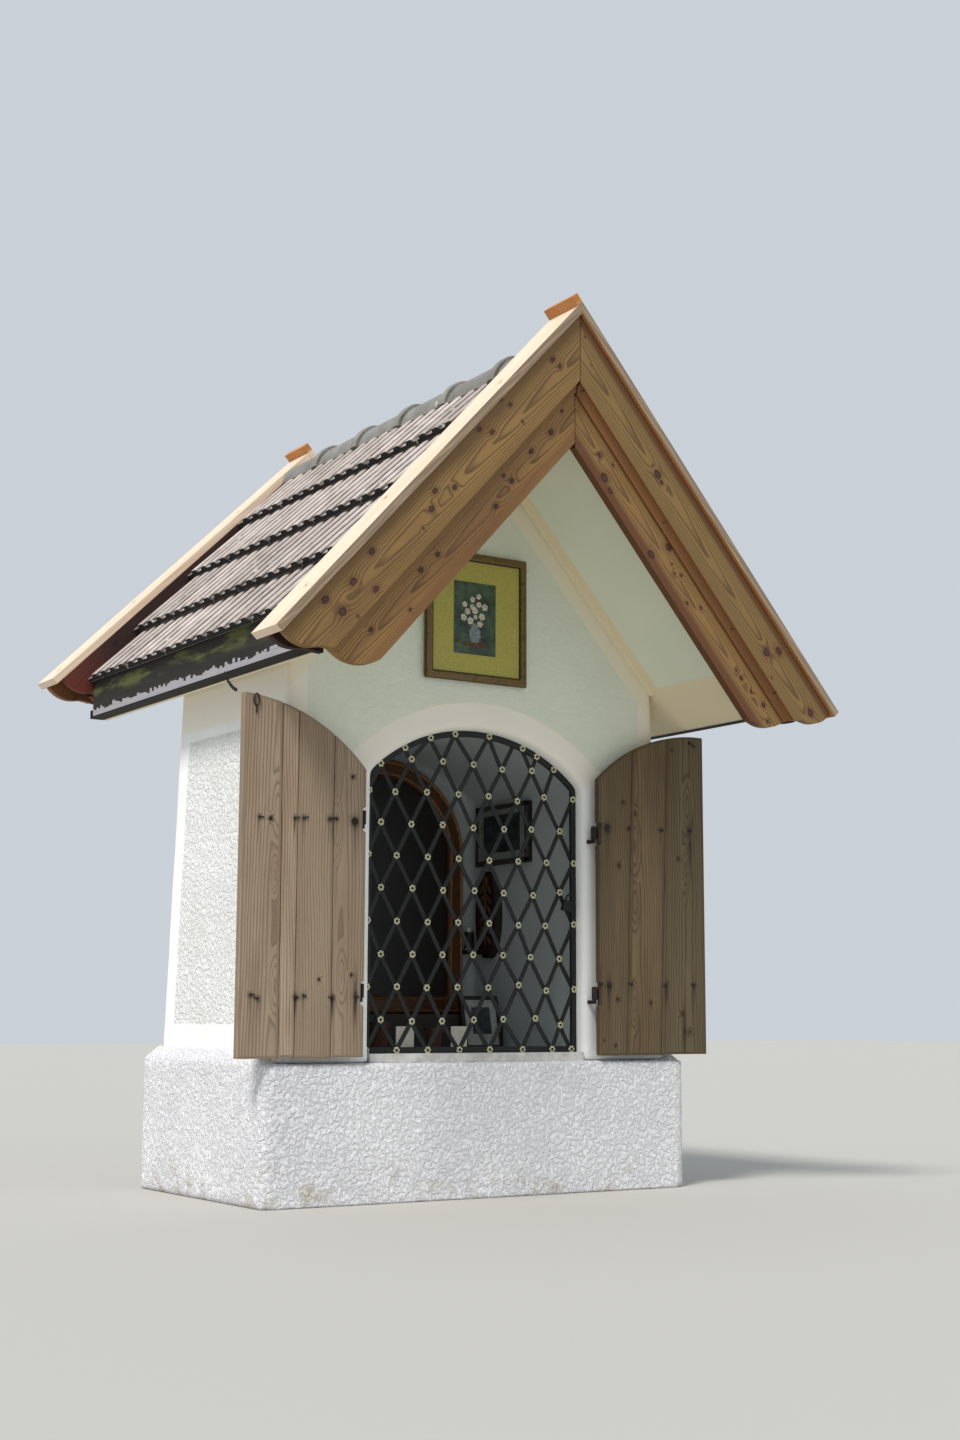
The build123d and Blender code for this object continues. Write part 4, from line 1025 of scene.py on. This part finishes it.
def layPlank(bm, grainMap, door, number):
    # one plank between two edges that may taper, its top on the arch, cut back round the hinge knuckles
    first, second = door["edges"][number:number + 2]
    grid = bmesh.ops.create_grid(bm, x_segments=leaf["columns"], y_segments=leaf["rows"], size=0.5)["verts"]
    foot = leaf["bottom"] + seed.uniform(-0.003, 0.001)
    bow = seed.uniform(-0.0006, 0.0006)
    outward = 1 if second[0] > first[0] else -1
    last = len(door["edges"]) - 2
    for v in grid:
        across, up = v.co.x + 0.5, v.co.y + 0.5
        share = up
        for attempt in range(2):
            # the edges depend on the height, and the height on the place across
            x1 = first[0] + (first[1] - first[0]) * share + outward * leaf["gap"] / 2 * (number > 0)
            x2 = second[0] + (second[1] - second[0]) * share - outward * leaf["gap"] / 2 * (number < last)
            x = x1 + (x2 - x1) * across
            z = foot + up * (leafTop(door, x) - foot)
            share = leafShare(z)
        for height in hingeHeights:
            into = x - door["inner"]
            if abs(z - height + knuckle["above"]) < knuckle["half"] and into < knuckle["width"]:
                x = door["inner"] + knuckle["clear"] + into * knuckle["squeeze"]
        v.co = Vector((door["side"] * x, leafFace + bow, z))
    faces = list({f for v in grid for f in v.link_faces})
    back = farVerts(bmesh.ops.extrude_face_region(bm, geom=faces))
    bmesh.ops.translate(bm, verts=back, vec=(0.0, leaf["thickness"] - bow, 0.0))
    plank = {f for v in set(grid) | set(back) for f in v.link_faces}
    bmesh.ops.recalc_face_normals(bm, faces=list(plank))
    rim = [e for e in {e for f in plank for e in f.edges} if len(e.link_faces) == 2 and e.calc_face_angle(0.0) > 1.0]
    cut = roundEdges(bm, rim, leaf["arris"], 2)
    for face in {f for f in plank if f.is_valid} | set(cut):
        for loop in face.loops:
            place = loop.vert.co
            across = door["side"] * place.x - door["hearts"][number] + (place.y - leafFace)
            loop[grainMap].uv = (place.z + 10.0 * number, across)


silveredPine = dict(
    knotColour="#3a2114", roughness=0.86, middle=0.0, pith=0.026, ring=9.0, taper=0.012, wild=1.7, figure=0.85,
    relief=0.0014, stain="#241a14", swerve=1.2,
)
leafWood = dict(
    left=dict(
        silveredPine, pale="#b6a18a", mid="#9d866f", late="#6b5847", streak="#83705c", halo="#64503d", planks="#8a7962",
    ),
    right=dict(
        silveredPine, pale="#7a6446", mid="#655137", late="#392b1b", streak="#4f402b", halo="#422f1c", planks="#5d5640",
    ),
)
for label, door in leaves.items():
    side, leafBody = door["side"], label + "_shutter"
    wood = dict(leafWood[label], knots=plankSpots(door, door["knots"]), eyes=plankSpots(door, door["eyes"]))
    pine = timber(label + "LeafPine", wood, plankGrain)
    bm = bmesh.new()
    stain = newLayer(bm, "stain")
    grainMap = bm.loops.layers.uv.verify()
    for number in range(len(door["edges"]) - 1):
        layPlank(bm, grainMap, door, number)
    for v in bm.verts:
        v[stain] = ironStain(side * v.co.x, v.co.z, door) if v.co.y < leafFace + 0.004 else 0.0
    finishPiece(label + "ShutterPlanks", bm, pine, body=leafBody, replaces=(leafBody + "_boards",))
    # clenched nails, their points bent over on this face, and the bolt heads of the straps
    bm = bmesh.new()
    for x, z, size in door["nails"]:
        reach = seed.uniform(0.010, 0.017) * seed.choice((-1, 1))
        sag = seed.uniform(-0.006, 0.004)
        head = Vector((side * x / 1000, leafFace - 0.0012, z / 1000))
        bends = ((0, 0.004, 0), (0, 0, 0), (reach * 0.6, -0.0006, sag * 0.2), (reach, 0.0006, sag))
        rod(bm, [head + Vector(bend) for bend in bends], 0.0019)
        pebble(bm, head, (0.0034, 0.0024, 0.0034))
    for x, z, size in door["bolts"]:
        head, half = Vector((side * x / 1000, leafFace, z / 1000)), size / 1000
        pebble(bm, head, (half, 0.006, half), segments=10)
        pebble(bm, head - Vector((0.0, 0.005, 0.0)), (half / 2, 0.004, half / 2))
    finishPiece(label + "ShutterNails", bm, rustyIron, body=leafBody)
    dress(rustyIron, leafBody + "_hinges")
    softenNode(leafBody + "_hinges", 0.0008, 1)
    batten = timber(label + "BattenPine", dict(leafWood[label], stain=None, middle=1.1), battenGrain)
    dress(batten, leafBody + "_battens")
    softenNode(leafBody + "_battens", 0.0018)
dress(rustyIron, "shutter_pintles")

# ring screw at the top of the left leaf
screw = dict(x=-0.797, z=1.412, front=0.0035, wide=0.0085, high=0.017, wire=0.0023)
screwFace = leafFace - screw["front"]
bm = bmesh.new()
eye = [
    Vector((screw["x"] + screw["wide"] * math.sin(a), screwFace, screw["z"] + screw["high"] * math.cos(a)))
    for a in turns(14)
]
rod(bm, eye, screw["wire"], closed=True)
shank = [(-0.797, screwFace, 1.396), (-0.7965, leafFace - 0.004, 1.378), (-0.796, leafFace + 0.004, 1.374)]
rod(bm, shank, screw["wire"])
finishPiece("leafRingScrew", bm, rustyIron, body="left_shutter")

# chain from the eave that steadies the left leaf, unhooked from it
chain = dict(
    top=Vector((-0.795, -0.215, 1.5205)), end=Vector((-0.846, -0.404, 1.438)), sag=0.010, links=15, long=0.0098,
    wide=0.0050, wire=0.0014,
)
bm = bmesh.new()
chainPath = []
for number in range(chain["links"] + 1):
    share = number / chain["links"]
    sag = Vector((0.0, 0.0, 4 * chain["sag"] * share * (1 - share)))
    chainPath.append(chain["top"].lerp(chain["end"], share) - sag)
for number, (start, stop) in enumerate(zip(chainPath, chainPath[1:])):
    turn = (stop - start).to_track_quat("X", "Y").to_matrix().to_4x4()
    turn = turn @ Matrix.Rotation(number % 2 * math.pi / 2, 4, "X")
    link = [Vector((chain["long"] * math.cos(a), chain["wide"] * math.sin(a), 0.0)) for a in turns(10)]
    rod(bm, [(start + stop) / 2 + turn @ place for place in link], chain["wire"], closed=True, sides=1)
finishPiece("leafChain", bm, rustyIron)

# bent hook at the top of the right leaf, as (x, out of the face, z)
hook = [
    (0.772, -0.004, 1.412), (0.773, 0.005, 1.411), (0.781, 0.007, 1.404), (0.792, 0.005, 1.401), (0.797, 0.001, 1.402),
]
bm = bmesh.new()
rod(bm, [(x, leafFace - out, z) for x, out, z in hook], 0.0026)
pebble(bm, (0.772, leafFace, 1.412), (0.006, 0.003, 0.006))
finishPiece("leafHook", bm, rustyIron, body="right_shutter")
print("shutters")


# ---- grille

grille = dict(
    y=-0.332, bar=0.0138, thick=0.0034, frame=0.018, frameDepth=0.010, rosette=0.0114, clearance=0.0003, steps=40,
)
frameHalf = niche["half"] - grille["clearance"]
frameFoot = niche["sill"] + grille["clearance"]
frameCrown = niche["crown"] - grille["clearance"]
frameRadius = niche["radius"] - grille["clearance"]
# the crossings, row by row from the foot, as (x, z) in millimetres: set out one by one, so no two are quite alike
crossings = [
    (0, [(-373, 429), (-270, 429), (-163, 429), (-51, 429), (58, 429), (178, 429), (289, 429), (362, 429)]),
    (1, [(-325, 518), (-218, 513), (-113, 514), (0, 518), (107, 520), (226, 523), (321, 503)]),
    (0, [(-373, 613), (-271, 614), (-167, 612), (-59, 615), (52, 615), (164, 624), (267, 608), (373, 613)]),
    (1, [(-327, 709), (-218, 710), (-113, 711), (-3, 713), (106, 714), (208, 710), (317, 707)]),
    (0, [(-373, 807), (-273, 807), (-166, 807), (-58, 809), (55, 810), (163, 807), (264, 808), (373, 815)]),
    (1, [(-329, 905), (-220, 906), (-112, 904), (1, 907), (108, 904), (218, 901), (320, 914)]),
    (0, [(-373, 1002), (-276, 1002), (-167, 1002), (-57, 1002), (55, 1002), (162, 1004), (269, 1005), (373, 1007)]),
    (1, [(-331, 1099), (-226, 1098), (-115, 1102), (-4, 1099), (109, 1101), (211, 1106), (320, 1106)]),
    (0, [(-373, 1192), (-283, 1192), (-172, 1198), (-59, 1199), (51, 1200), (159, 1192), (260, 1210), (371, 1210)]),
    (3, [(-227, 1295), (-115, 1296), (-4, 1295), (102, 1287), (214, 1291)]),
]
# where bars run on into the arch: (row, half column, x on the arch in millimetres)
archEnds = [
    (8, 0, -334), (8, 2, -334), (9, 3, -250), (9, 3, -160), (9, 5, -160), (9, 5, -72), (9, 7, -72), (9, 7, 53),
    (9, 9, 53), (9, 9, 146), (9, 11, 178), (9, 11, 232), (8, 12, 297),
]
archRosettes = [-334, -250, -160, -72, 53, 178, 232, 297]


def archTop(x, inset):
    radius = frameRadius - inset
    return frameCrown - frameRadius + math.sqrt(max(radius ** 2 - x ** 2, 0.0))


joints = {}
for row, (first, places) in enumerate(crossings):
    for number, (x, z) in enumerate(places):
        joints[row, first + 2 * number] = Vector((x / 1000, 0.0, z / 1000))


def flatBar(bm, start, end):
    # one bay of a lattice bar; the two directions lie in two layers
    layer = grille["thick"] / 2 + 0.0002
    run = end - start
    half = Vector((grille["bar"] / 2, grille["thick"] / 2, run.length / 2 + 0.002))
    middle = (start + end) / 2 + Vector((0.0, grille["y"] + (layer if run.x < 0 else -layer), 0.0))
    box(bm, middle - half, middle + half, 0.0007, Matrix.Rotation(math.atan2(run.x, run.z), 4, "Y"), 1)


bm = bmesh.new()
for (row, column), start in joints.items():
    for sideways in (-1, 1):
        end = joints.get((row + 1, column + sideways))
        if end:
            flatBar(bm, start, end)
for row, column, x in archEnds:
    flatBar(bm, joints[row, column], Vector((x / 1000, 0.0, archTop(x / 1000, grille["frame"] / 2))))
# bent flat bar round the edge
edgeLoops = []
for inset in (0.0, grille["frame"]):
    half = frameHalf - inset
    outline = [(-half, frameFoot + inset), (half, frameFoot + inset)]
    for number in range(grille["steps"] + 1):
        x = half * (1 - 2 * number / grille["steps"])
        outline.append((x, archTop(x, inset)))
    edgeLoops.append([bm.verts.new((x, grille["y"] + grille["frameDepth"] / 2, z)) for x, z in outline])
rims = [bm.edges.new((loop[i - 1], loop[i])) for loop in edgeLoops for i in range(len(loop))]
bridged = bmesh.ops.bridge_loops(bm, edges=rims)["faces"]
moved = farVerts(bmesh.ops.extrude_face_region(bm, geom=bridged))
bmesh.ops.translate(bm, verts=moved, vec=(0.0, -grille["frameDepth"], 0.0))
bmesh.ops.recalc_face_normals(bm, faces=bm.faces)
finishPiece("latticeBars", bm, paintedIron, replaces=("grille",))


def petals(bm, middle, radius, turn, count, out, flat, paint, sides, thick):
    # a ring of petals round a heart
    for number in range(count):
        angle = turn + number * math.tau / count
        place = middle + Vector((out * radius * math.cos(angle), 0.0, out * radius * math.sin(angle)))
        pebble(bm, place, (radius * flat, thick, radius * flat), segments=sides, rings=4, paint=paint)


def rosette(bm, x, y, z):
    # stamped rosette: six petals round a dark rivet head
    radius = grille["rosette"]
    middle = Vector((x, y, z))
    petals(bm, middle, radius, seed.uniform(0, math.tau), 6, 0.64, 0.38, 0, 7, radius * 0.22)
    pebble(bm, middle, (radius * 0.42, radius * 0.30, radius * 0.42), segments=8, rings=4, paint=1)


bm = bmesh.new()
rosetteFace = grille["y"] - grille["thick"] - 0.0012
frameRosetteFace = rosetteFace - 0.0008
for (row, column), place in joints.items():
    onFrame = row == 0 or abs(place.x) > 0.36
    rosette(bm, place.x, frameRosetteFace if onFrame else rosetteFace, place.z)
for x in archRosettes:
    rosette(bm, x / 1000, frameRosetteFace, archTop(x / 1000, grille["frame"] / 2))
finishPiece("brassRosettes", bm, wornBrass, extra=(paintedIron,))

# padlock hung in the lattice
lock = dict(x=0.342, z=0.871, width=0.036, height=0.034, depth=0.015, shackle=0.0030, hoop=0.0105, turn=18)
bm = bmesh.new()
tilt = Matrix.Rotation(math.radians(lock["turn"]), 4, "Y")
lockFace = grille["y"] - grille["thick"] - 0.001
lockMiddle = Vector((lock["x"], lockFace - lock["depth"] / 2, lock["z"]))
lockHalf = Vector((lock["width"], lock["depth"], lock["height"])) / 2
box(bm, lockMiddle - lockHalf, lockMiddle + lockHalf, 0.003, tilt)
hoop = [(lock["hoop"] * math.cos(a), 0.027 + 0.011 * math.sin(a)) for a in (math.pi * i / 10 for i in range(11))]
hoop = [(lock["hoop"], 0.012), *hoop, (-lock["hoop"], 0.012)]
rod(bm, [lockMiddle + tilt @ Vector((x, 0.0, z)) for x, z in hoop], lock["shackle"])
finishPiece("padlockBody", bm, paintedIron, replaces=("padlock",))
print("grille")


# ---- gable picture

picture = dict(x=-0.029, bottom=1.542, width=0.366, height=0.401, bar=0.022, depth=0.022)
dress(giltWood, "gable_picture_frame")
softenNode("gable_picture_frame", 0.005, 3)
dress(mountBoard, "gable_picture_panel")
panelFace = walls["front"] + 0.0003 - picture["depth"] * 0.6

# a dark rim inside the gilt moulding and one round it
bm = bmesh.new()
middle = Vector((picture["x"], panelFace - 0.002, picture["bottom"] + picture["height"] / 2))
for sign in (-1, 1):
    for inset, half in ((picture["bar"], 0.003), (0.001, 0.0022)):
        wide, high = picture["width"] / 2 - inset, picture["height"] / 2 - inset
        for centre, reach in (((sign * wide, 0.0), (half, high)), ((0.0, sign * high), (wide, half))):
            place, size = middle + Vector((centre[0], 0.0, centre[1])), Vector((reach[0], 0.003, reach[1]))
            box(bm, place - size, place + size, 0.001, segments=1)
finishPiece("gableFrameRim", bm, darkWood)

# our own small print: pale blossoms in a grey vase before dark foliage
gablePrint = dict(left=-0.112, right=0.041, low=1.627, high=1.853, thick=0.0016, blossoms=13, middle=1.765)
printFace = panelFace - gablePrint["thick"]
bm = bmesh.new()
low = (gablePrint["left"], printFace, gablePrint["low"])
high = (gablePrint["right"], panelFace + 0.001, gablePrint["high"])
box(bm, low, high, 0.0004, segments=1)
finishPiece("gablePrint", bm, printGround)
bm = bmesh.new()
centre = Vector(((gablePrint["left"] + gablePrint["right"]) / 2, printFace, gablePrint["middle"]))
for number in range(gablePrint["blossoms"]):
    angle = number * 2.4
    reach = 0.013 * math.sqrt(number)
    place = centre + Vector((reach * 1.05 * math.cos(angle), 0.0, reach * 1.1 * math.sin(angle)))
    size = seed.uniform(0.0065, 0.0105)
    petals(bm, place, size, angle, 5, 0.62, 0.55, 0, 7, 0.0007)
    heart = place + Vector((0.0, -0.0004, 0.0))
    pebble(bm, heart, (size * 0.3, 0.0007, size * 0.3), segments=6, rings=4, paint=1)
vase = centre - Vector((0.0, 0.0, 0.090))
for rise, half in ((0.0, 0.017), (0.011, 0.023), (0.024, 0.022), (0.037, 0.014)):
    pebble(bm, vase + Vector((0.0, 0.0, rise)), (half, 0.0006, 0.013), segments=12, rings=4, paint=2)
pebble(bm, vase + Vector((0.0, 0.0002, -0.016)), (0.060, 0.0005, 0.010), segments=14, rings=4, paint=3)
finishPiece("gablePrintBlossoms", bm, petalPaint, extra=(mountBoard, potPaint, brownWood))
print("gable picture")


# ---- niche fittings

dress(brownGilt, "altarpiece_frame")
softenNode("altarpiece_frame", 0.009, 3)
dress(altarPaint, "altarpiece_panel")
dress(darkWood, "side_picture", "carved_plaque", "candle_bracket", "leaning_picture")
dress(altarStep, "altar")
dress(screed, "niche_floor")

# beads on the altarpiece frame, in a paler gilt as painted highlight on its outer edge and inner line
arch = dict(half=0.318, bottom=0.5353, top=1.3763, rise=0.290, face=niche["back"] - 0.0453, steps=15)
archRadius = (arch["half"] ** 2 + arch["rise"] ** 2) / (2 * arch["rise"])
bm = bmesh.new()
for inset, size in ((0.011, 0.0060), (0.050, 0.0045)):
    half = arch["half"] - inset
    radius = archRadius - inset
    centreZ = arch["top"] - inset - radius
    spread = math.asin(min(half / radius, 1.0))
    path = [(-half, arch["face"], arch["bottom"] + inset)]
    for number in range(2 * arch["steps"] + 1):
        angle = spread * (number / arch["steps"] - 1)
        path.append((radius * math.sin(angle), arch["face"], centreZ + radius * math.cos(angle)))
    rod(bm, path + [(half, arch["face"], arch["bottom"] + inset)], size, closed=True)
finishPiece("altarpieceBeads", bm, highlightGilt)

# side picture on the right wall: wooden frame, grey mount and a dark print
hung = dict(x=niche["half"] - 0.0163, y=(-0.095, 0.215), z=(1.030, 1.230), bar=0.016)
(near, far), (low, high), bar = hung["y"], hung["z"], hung["bar"]
bm = bmesh.new()
for y1, z1, y2, z2 in (
    (near, low, far, low + bar), (near, high - bar, far, high),
    (near, low, near + bar, high), (far - bar, low, far, high),
):
    box(bm, (hung["x"] - 0.006, y1, z1), (hung["x"] + 0.004, y2, z2), 0.002)
finishPiece("sidePictureFrame", bm, greyedWood)
bm = bmesh.new()
box(
    bm, (hung["x"] - 0.0012, near + 0.014, low + 0.014), (hung["x"] + 0.001, far - 0.014, high - 0.014), 0.0003,
    segments=1,
)
finishPiece("sidePictureMount", bm, greyMount)
bm = bmesh.new()
box(bm, (hung["x"] - 0.0020, near + 0.046, low + 0.040), (hung["x"], far - 0.046, high - 0.034), 0.0003, segments=1)
finishPiece("sidePicturePrint", bm, duskPrint)

# carved plaque: a plain relief of leaves round a stem
bm = bmesh.new()
plaque = Vector((niche["half"] - 0.0303, 0.140, 0.865))
for number in range(6):
    for sign in (-1, 1):
        turn = Matrix.Rotation(sign * math.radians(38), 4, "X")
        pebble(bm, plaque + Vector((0.0, sign * 0.020, -0.085 + number * 0.034)), (0.006, 0.008, 0.020), turn)
pebble(bm, plaque, (0.005, 0.006, 0.115))
pebble(bm, plaque + Vector((0.0, 0.0, 0.112)), (0.007, 0.016, 0.016))
finishPiece("plaqueRelief", bm, brownWood)

# candle on the bracket
bm = bmesh.new()
candle = Vector((0.352, 0.240, 0.750))
for low, high, radius in ((-0.0004, 0.004, 0.018), (0.004, 0.026, 0.010), (0.026, 0.076, 0.0085)):
    rod(bm, [candle + Vector((0, 0, low)), candle + Vector((0, 0, high))], radius, sides=4)
finishPiece("bracketCandle", bm, candleWax)


def faceFrame(node):
    # middle, outward normal and upward edge of the largest face that looks forward
    solid = weldedCopy(node)
    normal = max(solid.faces, key=lambda f: -f.normal.y * f.calc_area()).normal.copy()
    verts = [v.co.copy() for f in solid.faces if f.normal.dot(normal) > 0.999 for v in f.verts]
    solid.free()
    up = Vector((1.0, 0.0, 0.0)).cross(normal) * -1
    up = up if up.z > 0 else -up
    middle = (max(verts, key=lambda v: v.dot(up) + v.x) + min(verts, key=lambda v: v.dot(up) + v.x)) / 2
    return middle, normal, up.normalized()


def leaningBox(name, material, half, lift, raised=0.0):
    # a thin sheet on the face of the leaning picture
    middle, normal, up = faceFrame("leaning_picture")
    bm = bmesh.new()
    place = middle + normal * lift + up * raised
    box(bm, place - Vector(half), place + Vector(half), 0.0006, towards(up.cross(normal), -normal, up), 1)
    finishPiece(name, bm, material)


leaningBox("leaningMount", paleMount, (0.060, 0.0010, 0.074), 0.0006)
leaningBox("leaningPrint", duskPrint, (0.036, 0.0010, 0.044), 0.0014, 0.006)

# cards and clay pots on the floor of the niche
bm = bmesh.new()
for x, y, width, height, turn in ((-0.160, -0.200, 0.066, 0.078, 4), (0.034, -0.200, 0.052, 0.078, -14)):
    middle = Vector((x, y, niche["sill"] + height / 2))
    half = Vector((width / 2, 0.0015, height / 2))
    box(bm, middle - half, middle + half, 0.0006, Matrix.Rotation(math.radians(turn), 4, "Z"), 1)
finishPiece("nicheCards", bm, candleWax)
bm = bmesh.new()
for x, y, radius, height in ((-0.052, -0.190, 0.030, 0.074), (-0.235, -0.170, 0.036, 0.090)):
    # body, then rim
    for low, high, foot, top in ((0.0, 0.82, 0.72, 0.84), (0.80, 1.0, 1.0, 1.0)):
        middle = Matrix.Translation((x, y, niche["sill"] + height * (low + high) / 2))
        bmesh.ops.create_cone(
            bm, cap_ends=True, segments=20, radius1=radius * foot, radius2=radius * top, depth=height * (high - low),
            matrix=middle,
        )
finishPiece("clayPots", bm, clayPot)
print("niche fittings")
